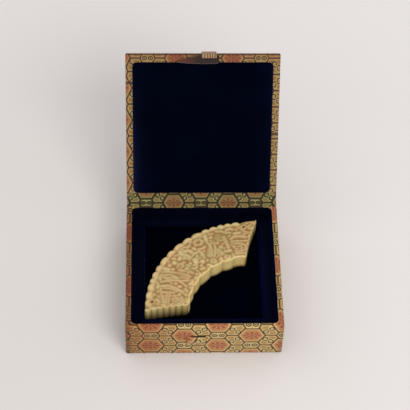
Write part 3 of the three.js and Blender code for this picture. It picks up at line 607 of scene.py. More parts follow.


# velvet ledges round the well: each side is its width, where the well starts and ends, its turn and its
# painted sheen
ledge = {
    "outer": 46.7, "floor": 3.1, "top": 18.2, "crown": 0.9, "edge": 2.2, "lean": 0.8, "gap": 0.12,
    "slopeShares": [(0.6, 0.06), (0.4, 0.22), (0.2, 0.5), (0.0, 1.0)], "steps": 40,
    "sag": [(0.12, 17.0, 0.0), (0.08, 41.0, 1.0)],
    "sides": [
        ("ledgeFront", "ledge_front", 11.6, -38.3, 38.3, 0, 0.35),
        ("ledgeRight", "ledge_right", 8.4, -35.1, 39.3, 90, 0.35),
        ("ledgeBack", "ledge_back", 7.4, -38.3, 38.3, 180, 0.2),
        ("ledgeLeft", "ledge_left", 8.4, -39.3, 35.1, -90, 0.2),
    ],
}


def ledgeSide(name, node, width, wellStart, wellEnd, turn, sheen):
    # a profile from the wall to the well's edge, run along the wall between two mitres
    # its top sags by the sum of size * sin(share * rate + phase)
    g = ledge
    outer, top, high = g["outer"], g["top"] - g["edge"], g["top"] + g["crown"]
    t = np.linspace(0, math.pi / 2, 10)[1:]
    outline = [(0.0, g["floor"]), (width, g["floor"]), (width, top)]
    outline += zip(width - g["edge"] * (1 - np.cos(t)), top + (g["edge"] + g["crown"]) * np.sin(t))
    outline += [(width * share, high - g["lean"] * fall) for share, fall in g["slopeShares"]]
    across, height = np.array(outline).T
    start = -outer + (wellStart + outer) * across / width + g["gap"]
    end = outer + (wellEnd - outer) * across / width - g["gap"]
    share = np.linspace(0, 1, g["steps"] + 1)[:, None]
    sag = sum(size * np.sin(share * rate + phase) for size, rate, phase in g["sag"])
    x = start + (end - start) * share
    points = np.stack([x, np.broadcast_to(across - outer, x.shape), height + sag * (height > top)], -1)
    count = len(outline)
    faces = gridFaces(g["steps"] + 1, count, True)[:, ::-1].tolist()
    faces += [list(range(count)), list(range(g["steps"] * count, (g["steps"] + 1) * count))[::-1]]
    thing = meshFrom(name, points.reshape(-1, 3), faces, True, 50)
    thing.data.transform(Matrix.Rotation(math.radians(turn), 4, "Z"))
    facesOut(thing)
    dress(thing, velvetFinish)
    # painted sheen: paler towards the crest
    addFloats(thing, "napAndSheen", sheen * np.clip((vertexPlaces(thing)[:, 2] - top) / 2.5, 0, 1))
    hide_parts(node)
    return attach(thing, "case")


# thin cloth-covered card round the walls, its top edge rolled over
lining = {"half": 46.6, "nap": 0.12,
          "outline": [(0.0, 19.4), (0.0, 28.7), (0.2, 28.9), (0.7, 28.9), (0.9, 28.6), (0.9, 19.4)]}


def liningRing():
    half = (lining["half"], lining["half"])
    thing = sweptSquare("wallLining", lining["outline"], half,
                        lambda inset: cover["openCorner"] - inset * 0.5, closed=True, sideSteps=4)
    facesOut(thing)
    addFloats(thing, "napAndSheen", np.full(len(thing.data.vertices), lining["nap"]))
    dress(thing, velvetFinish)
    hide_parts("lining_front", "lining_back", "lining_left", "lining_right")
    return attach(thing, "case")


def band(name, path, ply, fromX, toX, cloth, closed=False, steps=14, start=0.0, byHeight=False):
    # flat strap: a flat ring across it, offset from a path in the YZ plane by half its ply along the normal
    path = np.asarray(path, float)
    tangent = np.roll(path, -1, 0) - np.roll(path, 1, 0) if closed else np.gradient(path, axis=0)
    tangent /= np.hypot(*tangent.T)[:, None]
    normal = np.column_stack([-tangent[:, 1], tangent[:, 0]]) * ply / 2
    x = np.linspace(fromX, toX, steps + 1)
    side = np.repeat([1, -1], steps + 1)[None, :, None]
    yz = path[:, None] + normal[:, None] * side
    ringX = np.broadcast_to(np.concatenate([x, x[::-1]])[None, :, None], yz.shape[:2] + (1,))
    points = np.concatenate([ringX, yz], -1).reshape(-1, 3)
    count = 2 * (steps + 1)
    faces = (gridFaces(len(path) + closed, count, True) % len(points)).tolist()
    if not closed:
        faces += [list(range(count))[::-1], list(range(len(points) - count, len(points)))]
    thing = meshFrom(name, points, faces, True, 40)
    facesOut(thing)
    ids = readAll(thing.data.loops, "vertex_index", kind=int)
    along = points[:, 2] if byHeight else np.repeat(runLength(path), count)
    addWeave(thing, points[ids, 0], along[ids] - start)
    dress(thing, cloth)
    return thing


# hinge cloth: from inside the back rim over the gap, then on to the lid's inner face in the shut lid's frame
strip = {"half": 49.85, "cloth": 0.3, "start": 5.8,
         "rimPath": [(46.42, 28.98), (46.5, 29.5), (46.95, 29.86), (48.5, 29.95), (50.0, 30.0),
                     (50.9, 30.05)],
         "lidPath": [(-0.9, 0.15), (-1.8, 0.2), (-3.0, 0.2), (-5.2, 0.2)],
         "blendFrom": (0, 0.0500, 0.0300), "blendTo": (0, 0.0522, 0.0312)}


def hingeStrip():
    c, s = math.cos(math.radians(hinge["open"])), math.sin(math.radians(hinge["open"]))
    lidPath = [(hinge["y"] + y * c + z * s, hinge["z"] - y * s + z * c) for y, z in strip["lidPath"]]
    fine = smoothPath(strip["rimPath"] + lidPath, 36)
    half = strip["half"]
    thing = band("hingeStrip", fine, strip["cloth"], -half, half, hingeCloth, steps=60, start=strip["start"])
    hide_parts("hinge_cloth_base", "hinge_cloth_lid")
    run = runLength(fine)[-1]
    print("hinge cloth, flat, mm:", round(2 * half, 1), round(run, 1))
    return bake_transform(thing)


# strap: its tail on the shut lid's outer face and the ring through the pin, places about the lid's front edge
strap = {"low": -0.9, "high": 8.5, "ply": 0.55, "front": -101.8,
         "tail": [(12.0, 3.9), (4.0, 3.9), (0.4, 3.88), (-0.4, 3.6), (-0.8, 3.0), (-0.8, 2.0), (-0.8, 1.1)],
         "ring": (-0.05, -1.95), "ringHalf": (1.35, 1.85), "ringCorner": 0.8}


def strapPieces():
    g = strap
    ring = squareRing(*g["ringHalf"], g["ringCorner"]) + (g["front"] + g["ring"][0], g["ring"][1])
    tail = smoothPath([(g["front"] + y, z) for y, z in g["tail"]], 24)
    for name, path, closed, node, body in (("strapTail", tail, False, "strap_tail", "lid"),
                                           ("strapLoop", ring, True, "strap_loop", "strap")):
        thing = intoLid(band(name, path, g["ply"], g["low"], g["high"], strapFinish, closed))
        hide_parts(node)
        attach(thing, body)


# toggle pin in the shut lid's frame: along, across and height
pin = {"tip": (-17.4, -97.8), "shoulder": (-2.0, -101.95), "bow": 0.35, "edge": -102.1, "blunt": 10.2,
       "heel": -96.7, "round": 0.6, "belly": (-4.0, -95.9), "low": -3.2, "high": -1.6, "bevel": 0.32,
       "slot": (-1.3, 8.9, -101.2, -99.7)}


def bentLine(start, pull, end, steps=14):
    # quadratic curve (1 - t)^2 start + 2 t (1 - t) pull + t^2 end
    t = np.linspace(0, 1, steps + 1)[:, None]
    return (1 - t) ** 2 * np.array(start) + 2 * t * (1 - t) * np.array(pull) + t ** 2 * np.array(end)


def insetLoop(loop, depth):
    # each point moves inwards along the mean of its two side normals
    ahead, behind = np.roll(loop, -1, 0) - loop, loop - np.roll(loop, 1, 0)
    sides = [np.column_stack([-v[:, 1], v[:, 0]]) / np.hypot(*v.T)[:, None] for v in (ahead, behind)]
    mean = sides[0] + sides[1]
    return loop + depth * mean / np.maximum((mean ** 2).sum(1) / 2, 0.6)[:, None]


def insideLoop(points, loop):
    # even-odd rule: how many sides of the loop a ray along +X crosses
    crossings = np.zeros(len(points), int)
    for (ax, ay), (bx, by) in zip(loop, np.roll(loop, -1, 0)):
        spans = (points[:, 1] < ay) != (points[:, 1] < by)
        at = ax + (points[:, 1] - ay) * (bx - ax) / (by - ay if by != ay else 1e-12)
        crossings += spans & (points[:, 0] < at)
    return crossings % 2 == 1


def hornPin():
    # a flat slip: pointed at one end, blunt at the other, bevelled all round, slotted for the strap
    g = pin
    tip, shoulder, end, r = np.array(g["tip"]), np.array(g["shoulder"]), g["blunt"], g["round"]
    blunt = [(end - 0.5, g["edge"]), (end, g["edge"] + r), (end, g["heel"] - r), (end - r, g["heel"])]
    back = bentLine(tip, (tip + shoulder) / 2 - (0.0, g["bow"]), shoulder)
    belly = bentLine(blunt[-1], g["belly"], tip + g["bow"])
    outer = np.vstack([back, blunt, belly[1:]])
    left, right, upper, lower = g["slot"]
    slot = np.array([(left, upper), (left, lower), (right, lower), (right, upper)])
    inner = insetLoop(outer, g["bevel"])
    flat = np.vstack([inner, slot])
    n, m = np.arange(len(outer)), len(outer) + np.arange(len(slot))
    # the two flats are triangles between the outline and the slot
    rings = [pair for ids in (n, m) for pair in np.column_stack([ids, np.roll(ids, -1)]).tolist()]
    places, _, cells, *_ = delaunay_2d_cdt([Vector(p) for p in flat], rings, [], 0, 1e-5)
    cells = np.array(cells)
    middles = np.array(places)[cells].mean(1)
    cells = cells[insideLoop(middles, inner) & ~insideLoop(middles, slot)]
    heights = (g["low"], g["low"] + g["bevel"], g["high"] - g["bevel"], g["high"])
    loops = (flat, outer, outer, flat)
    points = np.vstack([np.column_stack([loop, np.full(len(loop), z)]) for loop, z in zip(loops, heights)])
    starts = np.cumsum([0] + [len(loop) for loop in loops])
    faces = cells.tolist() + (cells[:, ::-1] + starts[3]).tolist() + ringFaces(m, starts[3] + m)
    for a, b in zip(starts[:3], starts[1:4]):
        faces += ringFaces(a + n, b + n)
    thing = meshFrom("hornPin", points, faces, True, 30)
    facesOut(thing)
    dress(intoLid(thing), hornFinish)
    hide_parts("toggle_pin")
    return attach(thing, "pin")


# loop band on the front wall: places as distance before the wall and height
frontBand = {"low": -11.2, "high": 0.7, "ply": 0.6, "wall": -50.0, "start": 0.6,
             "path": [(0.35, 11.0), (0.45, 12.0), (0.9, 13.2), (1.4, 14.6), (1.5, 15.8), (1.4, 17.0),
                      (1.1, 18.3), (0.5, 19.4), (0.35, 20.2)]}


def loopBand():
    g = frontBand
    path = smoothPath([(g["wall"] - out, z) for out, z in g["path"]], 30)
    thing = band("loopBand", path, g["ply"], g["low"], g["high"], caseCloth, start=g["start"], byHeight=True)
    x, _, z = vertexPlaces(thing).T
    # painted shadow in the openings under the band, along its upper end and at its left side
    above = np.clip((z - 19.3) / 0.6, 0, 1) * np.clip((x - g["low"] - 2.0) / 1.5, 0, 1)
    left = np.clip((g["low"] + 0.8 - x) / 0.8, 0, 1) * np.clip(1 - np.abs(z - 17.2) / 1.6, 0, 1)
    addFloats(thing, "slitShadow", np.maximum(above, left))
    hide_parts("loop_band")
    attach(thing, "case")


# pendant: angles in degrees about the arc's centre, from the pendant's own axis
arc = {
    "centre": (30.4, -30.7), "turn": 44.6, "bottom": 13.6, "thick": 12.4,
    "outer": 68.1, "inner": 39.9, "taper": 1.6, "lobe": 1.1, "scallop": 1.0, "hollow": 0.5,
    "innerEnds": (-41.9, 43.9), "outerEnds": (-49.9, 48.3), "upperTip": 69.9, "lowerTip": 68.3,
    "notches": [-40.2, -35.0, -30.9, -26.6, -21.7, -16.7, -10.0, -3.9, 3.2, 9.0, 15.9, 20.9, 25.9, 29.6, 34.8,
                40.4, 45.5],
    "grooves": [-41.9, -29.6, -18.6, -5.6, 9.9, 21.4, 32.9, 43.9],
    "flute": 0.75, "flutes": 7, "edge": 1.5, "edgeDrop": 1.0, "inwardSlope": 0.7, "field": 1.0, "foot": 0.35,
    "along": 430, "across": 150, "down": 10,
}
# carved ridges about the arc's centre with the pendant's axis up: half width, then x and y of each point
strokes = [
    (0.6, 37.2, 54.5, 40.2, 52, 40.1, 48.9, 40.3, 44.9, 41.6, 42), (0.7, 29.4, 59.5, 31.2, 57.2, 34.1, 57),
    (0.55, 26.7, 57.9, 29.6, 55.6, 30.6, 52.4, 33, 50.5), (0.9, 34.4, 48.1, 37.5, 46.1),
    (0.75, 29.6, 46.5, 32.3, 46.5, 35.1, 44.2, 37.8, 40.5),
    (0.5, 28.2, 44.7, 31.3, 42.7, 34.4, 39.4, 37.3, 37.2),
    (0.55, 28.6, 42.2, 31.4, 39.9, 32.7, 36.6, 31.4, 34.6, 28.8, 34.1, 26, 35.6, 24.4, 37.4),
    (0.45, 28.2, 38.9, 30, 38.2, 29.8, 36.3, 27.8, 36.1), (0.5, 23.3, 35.9, 25.6, 34.1, 28.2, 32),
    (0.9, 26.5, 40.6), (1.05, 27.3, 50.9, 25.7, 47.7, 24.4, 44.8, 23.2, 42.8), (1.2, 20.3, 46.7),
    (1, 21, 50.3), (0.4, 17.8, 47.2, 17.4, 41.2), (0.4, 16.3, 46.6, 15.9, 41.2),
    (0.4, 14.6, 45.6, 14.3, 41.8), (0.9, 19.7, 42, 22.6, 40.2),
    (0.65, 16.4, 55.9, 15.8, 52.3, 14, 48.8, 10.3, 45.7), (0.6, 19.7, 52.6, 16.6, 48.3, 11.7, 44.3),
    (1.2, 19.2, 60.6, 17.5, 57.5), (1.1, 20.9, 56.8), (0.8, 18, 53.2),
    (0.85, 12.7, 54.3, 10.9, 53.8, 8.8, 55.5, 7.3, 54.9, 7.5, 52.2, 7.2, 49.8),
    (0.7, 10, 61.3, 12.6, 62.1, 14.7, 60.8, 14.6, 58.2, 12.4, 57.2, 10.6, 58.5), (1, 9.5, 59.3),
    (0.6, 1.9, 54.6, 3.8, 55.3, 5.6, 54.5), (0.6, 2.6, 56.5), (1.1, 0.8, 60.6, 2.8, 59.7, 3.5, 57.4),
    (0.5, -2.6, 58.5, -0.9, 56.9, -0.8, 54.1), (0.6, -3.2, 57.1), (1.3, 1, 50.8), (0.9, 6.1, 48.3),
    (0.8, -2.1, 66.3, 0.6, 64.4, 0.6, 62.3), (1.2, -2.1, 63, -1.6, 60.9),
    (0.7, -6.6, 62.7, -3.7, 61.4, -0.5, 58.2, 0.2, 54.4), (0.45, -4.4, 57.4, -2.4, 56, -1.8, 53.3),
    (1, 6.6, 50.6), (0.9, -6, 54.9), (1, -3.6, 51.5), (1.5, 0.3, 51.2, -0.4, 49.3), (1.6, 3.1, 46.8),
    (1.5, -10.7, 59), (1.2, -14.4, 59.6),
    (0.65, -11.8, 55, -9.7, 56.2, -7.9, 55.2, -8.4, 53.1, -10.2, 53.3),
    (0.65, -5.2, 47.4, -4.6, 46, -2.5, 46.2, -1.7, 47.5, -2.9, 48.7), (1.1, -8.4, 50),
    (0.8, -1.9, 43.3, 0.3, 42.4), (0.65, -5.2, 41.7, -5.5, 38.9, -3.1, 38.6, -2.6, 40.1),
    (1.2, -9.4, 40.5, -7.3, 39.2), (0.6, -22.4, 59.9, -18.8, 56.8, -15.1, 52.1, -12, 46.9, -11.2, 44.1),
    (0.6, -23.5, 58.4, -23.8, 54.7, -21.5, 50, -17.7, 45.5, -14, 42.5),
    (0.45, -22.5, 56.9, -19.3, 54.2, -17.7, 50), (0.45, -22.9, 54.7, -20.1, 51.7, -17.9, 48.2),
    (1.2, -19.2, 61.3, -17.3, 57.9), (1.1, -15, 56), (1, -12.3, 52.4, -11, 50),
    (0.6, -27.5, 54.3, -24.5, 52.3, -22.9, 50.2), (1, -21.9, 46.6),
    (0.7, -18.8, 45.6, -18.4, 42.7, -18.5, 40.2),
    (0.8, -29.4, 51.6, -26.4, 49.1, -24.8, 45.4, -24.2, 41.9, -23.3, 39.5),
    (0.5, -29.6, 49.3, -26.8, 45.9, -25.8, 41.9), (0.7, -33.3, 48.4, -30.4, 45.6),
    (0.5, -34.1, 47.7, -35.6, 45.2, -37.7, 41.8), (0.5, -31.5, 44.7, -33.8, 42.9, -37, 40.6),
    (0.8, -34, 45.1), (0.6, -35.6, 43.2), (0.45, -28.7, 44.8, -32.1, 42.2, -37.1, 38.3),
    (0.5, -30.4, 41.5, -28.3, 39.9, -30.2, 39.3), (0.45, -26.2, 36.8, -30.2, 32.3),
    (0.6, -23.7, 38.3, -23.5, 35.6), (0.9, -39.1, 46.7, -39.6, 44.2), (0.8, -39.4, 50.5, -37.5, 50.1),
    (0.8, -34.3, 50.4), (1.3, -37.8, 34.9), (1, -43, 41.2), (0.9, -34.9, 32.9), (1, -40.9, 37.6),
    (0.7, -18, 35.7, -21.6, 33.8), (0.7, -14.5, 36.2), (0.8, -11.6, 37.9, -9.2, 36.5),
]
# broad low swells between ridges, in the same way
swells = [(1.5, 13.6, 50.8, 9.7, 47.3), (1.7, -15.4, 47.7, -13.1, 44.2)]
strokes, swells = ([(row[0], np.reshape(row[1:], (-1, 2))) for row in table] for table in (strokes, swells))
ovals = [((-30.6, 35.5), 3.0, 3.6, 45.0)]
cordHoles = [(42.69, 47.41), (-42.69, 47.41)]
sunkBox = {"centre": (25.2, 54.1), "half": 2.0, "turn": -43.8}
carving = {
    "seed": 7, "cell": 0.4, "gap": 0.3, "least": 0.75, "widest": 1.4, "stride": 0.7, "joints": 9,
    "headings": 12, "bends": (-0.5, -0.25, 0.25, 0.5), "wider": 1.15, "more": 0.42, "power": 0.6,
    "passes": 6, "uneven": 0.25, "rowDepth": (3.9, 0.022), "beadMiddle": 0.46, "beadHalf": 0.54,
    "rimDepth": 0.8, "hole": 0.85, "holeDepth": 7.0, "ring": 1.6, "ringHalf": 0.7,
}


def lobes(angle, marks, power):
    # 0 at each mark and 1 half way to the next: sin to a power; also the number of the stretch
    marks = np.array(marks)
    i = np.clip(np.searchsorted(marks, angle) - 1, 0, len(marks) - 2)
    p = np.clip((angle - marks[i]) / (marks[i + 1] - marks[i]), 0, 1)
    return np.sin(math.pi * p) ** power, i


def outerRadius(angle):
    # outer - lobe * (1 - swell) between the first and last notch, then a straight flare to each tip
    swell, _ = lobes(angle, arc["notches"], 0.5)
    radius = arc["outer"] - arc["lobe"] * (1 - swell)
    for sign, mark, end, tip in ((-1, arc["notches"][0], arc["outerEnds"][0], arc["upperTip"]),
                                 (1, arc["notches"][-1], arc["outerEnds"][1], arc["lowerTip"])):
        share = np.clip((angle - mark) / (end - mark), 0, 1)
        flare = arc["outer"] - arc["lobe"] * np.exp(-share * 9) + (tip - arc["outer"]) * share
        radius = np.where((angle - mark) * sign > 0, flare, radius)
    return radius


def innerRadius(angle):
    # swells towards the centre between grooves; the rightmost stretch is hollow
    swell, i = lobes(angle, arc["grooves"], 0.75)
    share = (angle - arc["innerEnds"][0]) / (arc["innerEnds"][1] - arc["innerEnds"][0])
    depth = np.where(i == 0, -arc["hollow"], arc["scallop"])
    return arc["inner"] + arc["taper"] * (share - 0.5) - depth * swell


def turned(x, y, centre, degrees):
    # places in a turned frame about a centre
    t = math.radians(degrees)
    x, y = x - centre[0], y - centre[1]
    return x * math.cos(t) + y * math.sin(t), -x * math.sin(t) + y * math.cos(t)


def strokeDistance(x, y, line):
    # distance from each point to a line of straight stretches
    best = np.hypot(x - line[0][0], y - line[0][1])
    for (ax, ay), (bx, by) in zip(line[:-1], line[1:]):
        dx, dy = bx - ax, by - ay
        t = np.clip(((x - ax) * dx + (y - ay) * dy) / (dx * dx + dy * dy), 0, 1)
        best = np.minimum(best, np.hypot(x - ax - dx * t, y - ay - dy * t))
    return best


def rounded(d, half):
    # half-round ridge: (1 - (d / half)^2) to a power under 1
    return np.clip(1 - (d / half) ** 2, 0, 1) ** carving["power"]


def ovalMeasure(x, y, centre, rx, ry, degrees):
    # 0 in the middle of a turned oval and 1 on its edge
    px, py = turned(x, y, centre, degrees)
    return np.hypot(px / rx, py / ry)


def boxMeasure(x, y):
    # distance outside a turned square, and the place across it
    tx, ty = turned(x, y, sunkBox["centre"], sunkBox["turn"])
    return np.maximum(np.abs(tx), np.abs(ty)) - sunkBox["half"], ty


def endDistance(x, y):
    # distance inwards from the nearer of the two straight ends
    best = np.full(np.shape(x), 1e9)
    for side, inAngle, outAngle in zip((1, -1), arc["innerEnds"], arc["outerEnds"]):
        a, b = (r * np.array([-math.sin(math.radians(g)), math.cos(math.radians(g))])
                for r, g in ((arc["inner"], inAngle), (arc["outer"], outAngle)))
        along = (b - a) / np.hypot(*(b - a))
        best = np.minimum(best, side * ((y - a[1]) * along[0] - (x - a[0]) * along[1]))
    return best


def rowDepth(angle):
    # the row of beads is deeper towards the lower left: start + slope * angle
    start, slope = carving["rowDepth"]
    return start + slope * angle


def inBeadRow(angle):
    return (angle > arc["notches"][0]) & (angle < arc["notches"][-1])


def fillerWorms():
    # short bent ridges laid greedily wherever the traced strokes leave room, the roomiest place first
    c = carving
    rng = np.random.default_rng(c["seed"])
    xs, ys = np.arange(-52, 52, c["cell"]), np.arange(24, 68, c["cell"])
    x, y = np.meshgrid(xs, ys, indexing="ij")
    radius, angle = np.hypot(x, y), np.degrees(np.arctan2(-x, y))
    outside = outerRadius(angle) - radius - np.where(inBeadRow(angle), rowDepth(angle) - 0.5, c["rimDepth"])
    room = np.minimum(outside, radius - innerRadius(angle) - c["rimDepth"])
    room = np.minimum(room, endDistance(x, y) - c["rimDepth"])
    for half, line in strokes + swells:
        room = np.minimum(room, strokeDistance(x, y, line) - half * c["wider"] - c["more"])
    for centre, rx, ry, degrees in ovals:
        room = np.minimum(room, (ovalMeasure(x, y, centre, rx, ry, degrees) - 1.1) * ry)
    room = np.minimum(room, boxMeasure(x, y)[0] - 0.3)
    for hx, hy in cordHoles:
        room = np.minimum(room, np.hypot(x - hx, y - hy) - 2.4)
    worms = []
    while room.max() > c["least"] and len(worms) < 600:
        i, j = np.unravel_index(np.argmax(room), room.shape)
        reach = min(room[i, j], c["widest"] * rng.uniform(0.75, 1.15))
        best = [(x[i, j], y[i, j])]
        for heading in rng.permutation(c["headings"]) * 2 * math.pi / c["headings"]:
            for bend in c["bends"]:
                path, way = best[:1], heading
                for _ in range(c["joints"]):
                    way += bend
                    px = path[-1][0] + c["stride"] * math.cos(way)
                    py = path[-1][1] + c["stride"] * math.sin(way)
                    a, b = round((px - xs[0]) / c["cell"]), round((py - ys[0]) / c["cell"])
                    if not (0 <= a < len(xs) and 0 <= b < len(ys)) or room[a, b] < reach * 0.72:
                        break
                    path.append((px, py))
                best = max(best, path, key=len)
        worms.append((reach + 0.1, best, rng.uniform(0.62, 0.95)))
        room = np.minimum(room, strokeDistance(x, y, best) - reach - c["gap"])
    return worms


def beadRow(angle, fromOut):
    # half-ellipsoid lumps between the notches, each with a small curled groove pressed into it
    c = carving
    marks = np.array(arc["notches"])
    _, i = lobes(angle, marks, 1)
    half = (marks[i + 1] - marks[i]) / 2
    p = (angle - marks[i] - half) / half
    deep = rowDepth(angle)
    q = (fromOut / deep - c["beadMiddle"]) / c["beadHalf"]
    dome = np.clip(1 - 0.93 * p ** 2 - q ** 2, 0, 1) ** 0.5
    side = np.where(i % 2 == 0, 1, -1)
    down = fromOut - deep * 0.63
    curl = np.hypot((p * side - 0.1) * np.radians(half) * 66.0, down)
    groove = np.exp(-((curl - 1.0) / 0.3) ** 2) * np.clip(0.6 + down * 0.8, 0, 1)
    return 0.25 + 0.75 * dome - 0.4 * groove * (dome > 0.1)


def softened(field, passes):
    # running three-point means, weights 1 2 1, along and across the grid
    for _ in range(passes):
        for axis in (0, 1):
            wide = np.pad(field, [(int(k == axis), int(k == axis)) for k in (0, 1)], mode="edge")
            low, mid, high = (np.take(wide, np.arange(field.shape[axis]) + k, axis) for k in (0, 1, 2))
            field = (low + 2 * mid + high) / 4
    return field


def carvedRelief(x, y, angle, fromOut, fromIn, fromEnd):
    # the highest of all ridges at each place, 0 low and 1 high, then softened
    c = carving
    field = np.full(x.shape, 0.1)
    for half, line in swells:
        field = np.maximum(field, rounded(strokeDistance(x, y, line), half + 0.4) * 0.6)
    ridges = [(half * c["wider"] + c["more"], line, min(1.0, 0.62 + 0.25 * half)) for half, line in strokes]
    for reach, line, lift in ridges + fillerWorms():
        field = np.maximum(field, rounded(strokeDistance(x, y, line), reach) * lift)
    # some places are more worn than others: slow products of sines lower the ridges there
    slow = np.sin(x * 0.43 + y * 0.21 + 1.0) * np.sin(y * 0.55 - x * 0.17)
    worn = 0.5 + 0.25 * (slow + np.sin(x * 0.95) * np.sin(y * 1.05))
    field = field * (1 - c["uneven"] * worn)
    for centre, rx, ry, degrees in ovals:
        e = ovalMeasure(x, y, centre, rx, ry, degrees)
        field = np.where(e < 1.12, 0.5 + 0.35 * np.cos(2 * math.pi * (1 - e) * 2.1), field)
    outside, across = boxMeasure(x, y)
    field = np.where(outside < 0, 0.35 + 0.15 * np.sin(across * 5.5), field)
    # beads along the outer edge, soft bands along the other edges
    rowShare = np.where(inBeadRow(angle), np.clip((rowDepth(angle) - fromOut) / 0.8, 0, 1), 0)
    field = np.maximum(field * (1 - rowShare), beadRow(angle, fromOut) * (rowShare > 0))
    swellIn, _ = lobes(angle, arc["grooves"], 0.5)
    bandIn = np.clip((1.5 - fromIn) / 1.3, 0, 1) * 0.8
    field = field * (1 - bandIn) + (0.35 + 0.5 * swellIn) * bandIn
    endBand = np.clip(1.3 - fromEnd, 0, 1) * 0.8
    field = field * (1 - endBand) + 0.72 * endBand
    for hx, hy in cordHoles:
        d = np.hypot(x - hx, y - hy)
        ring = np.clip(1 - ((d - c["ring"]) / c["ringHalf"]) ** 2, 0, 1) ** 0.5
        field = np.where(d < 2.5, np.maximum(field * np.clip((d - 1.7) / 0.8, 0, 1), ring * 0.7), field)
    return softened(field, c["passes"])


def pendantWalls(rim):
    # the rim's outline in rows down to the flat underside, whose last tenth draws in by a square law
    a = arc
    walls, depths = [], np.arange(1, a["down"] + 1) / a["down"]
    length = np.hypot(rim[:, 0], rim[:, 1])
    outwards = np.sign(length - (a["outer"] + a["inner"]) / 2)
    for p in depths:
        inward = a["foot"] * max(0.0, (p - 0.9) / 0.1) ** 2
        walls.append(rim * np.column_stack([1 - outwards * inward / length] * 2 + [np.full(len(rim), 1 - p)]))
    return walls, depths


def makePendant():
    # a grid over the sector: s runs along the arc and t from the inner to the outer edge, denser at both
    a = arc
    lead = np.array([0, 0.004, 0.011, 0.022, 0.036])
    across = np.concatenate([lead, np.linspace(0.05, 0.95, a["across"] - 9), 1 - lead[::-1]])
    s, t = np.meshgrid(np.linspace(0, 1, a["along"] + 1), across, indexing="ij")
    inAngle, outAngle = (pair[0] + (pair[1] - pair[0]) * s for pair in (a["innerEnds"], a["outerEnds"]))
    angle = inAngle + (outAngle - inAngle) * t
    rin, rout = innerRadius(inAngle), outerRadius(outAngle)
    radius = rin + (rout - rin) * t
    # end faces: round ridges side by side, |sin| across the face, dying out inwards
    side = 2 * s - 1
    ends = np.clip(np.abs(side) * 30 - 29, 0, 1)
    ridge = np.abs(np.sin(math.pi * a["flutes"] * t)) ** 0.7
    direction = np.radians(angle) - np.sign(side) * a["flute"] * (1 - ridge) * ends / radius
    x, y = -radius * np.sin(direction), radius * np.cos(direction)
    fromOut, fromIn = (1 - t) * (rout - rin), t * (rout - rin)
    spanIn, spanOut = (np.radians(pair[1] - pair[0]) for pair in (a["innerEnds"], a["outerEnds"]))
    fromEnd = np.minimum(s, 1 - s) * (spanIn * (1 - t) + spanOut * t) * radius
    relief = carvedRelief(x, y, angle, fromOut, fromIn, fromEnd)
    # height: thickness less the carving's depth and a quarter-round edge, 1 - sqrt(1 - (1 - share)^2)
    edge = np.minimum(np.minimum(fromOut, fromIn * a["inwardSlope"]), fromEnd)
    share = np.clip(edge / a["edge"], 0, 1)
    drop = a["edgeDrop"] * (1 - np.sqrt(1 - (1 - share) ** 2))
    z = a["thick"] - 0.05 - a["field"] * (1 - relief) - drop
    # drilled cord holes go down as narrow wells
    for hx, hy in cordHoles:
        inside = carving["hole"] - np.hypot(x - hx, y - hy)
        well = a["thick"] - carving["holeDepth"] * np.clip(inside / 0.25, 0, 1)
        z = np.where(inside > 0, np.minimum(z, well), z)
    rows, columns = x.shape
    top = np.stack([x, y, z], -1).reshape(-1, 3)
    index = np.arange(rows * columns).reshape(rows, columns)
    outline = np.concatenate([index[:, 0], index[-1, 1:], index[-2::-1, -1], index[0, -2:0:-1]])
    walls, depths = pendantWalls(top[outline])
    points = np.concatenate([top] + walls)
    n = len(outline)
    ids = np.concatenate([outline, np.arange(len(top), len(points))]).reshape(-1, n)
    faces = gridFaces(rows, columns)[:, ::-1].tolist()
    for upper, lower in zip(ids[:-1], ids[1:]):
        faces += ringFaces(upper, lower)
    faces.append(ids[-1][::-1].tolist())
    # shades for the stone: height, creases in painted shade, pale rims and walls partly painted light, and
    # painted shade low on the walls
    down, wallCount = a["down"], a["down"] * n
    # painted shade in the carving's hollows and on the lowest ground
    hollow = np.clip((softened(relief, 30) - relief) * 3.0, 0, 1) + np.clip(0.35 - relief, 0, 0.35)
    # paler near the outer and inner edges: partly tint and partly painted highlight
    rimShade = np.clip(1 - fromOut / 3.6, 0, 1) * 0.7 + np.clip(1 - fromIn / 4.0, 0, 1)
    groove = 1 - lobes(inAngle, a["grooves"], 0.3)[0]
    # painted shade in the flutes' valleys on the end faces and in the grooves along the inner wall
    creaseWall = np.clip(ends * (1 - ridge) + (t == 0) * groove * 1.2, 0, 1).ravel()[outline]
    # painted shade, full at the underside: from the top on the end faces, over the lowest third on the long
    # walls
    depth = np.repeat(depths, n)
    endWall = np.tile((ends.ravel() > 0.9)[outline], down)
    shades = {
        "carved": (relief, np.full(wallCount, 0.6)),
        "creaseShade": (hollow, np.tile(creaseWall, down)),
        # rim and wall: paler edges and walls, partly tint and partly painted light
        "rim": (np.clip(rimShade, 0, 1), np.ones(wallCount)),
        "wall": (np.clip(1 - edge / 0.9, 0, 1) * 0.6, np.ones(wallCount)),
        "paintedUnderShade": (np.zeros(len(top)), np.clip(np.where(endWall, depth, depth * 3 - 2), 0, 1)),
    }
    # out of the arc's own frame into the case
    px, py = turned(points[:, 0], points[:, 1], (0, 0), -a["turn"])
    placed = np.column_stack([px + a["centre"][0], py + a["centre"][1], points[:, 2] + a["bottom"]])
    thing = meshFrom("carvedPendant", placed, faces, True, 60)
    for name, (above, below) in shades.items():
        addFloats(thing, name, np.concatenate([above.ravel(), below]))
    facesOut(thing)
    dress(thing, jadeFinish)
    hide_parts("pendant")
    print("pendant triangles", int((readAll(thing.data.polygons, "loop_total", kind=int) - 2).sum()))
    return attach(thing, "jade")


caseSkin = caseCover()
lidSkin = lidCover()
for item in pads:
    pad(item)
for item in ledge["sides"]:
    ledgeSide(*item)
liningRing()
hingeStrip()
strapPieces()
hornPin()
loopBand()
print("stage: case dressed")
makePendant()
print("stage: pendant carved")

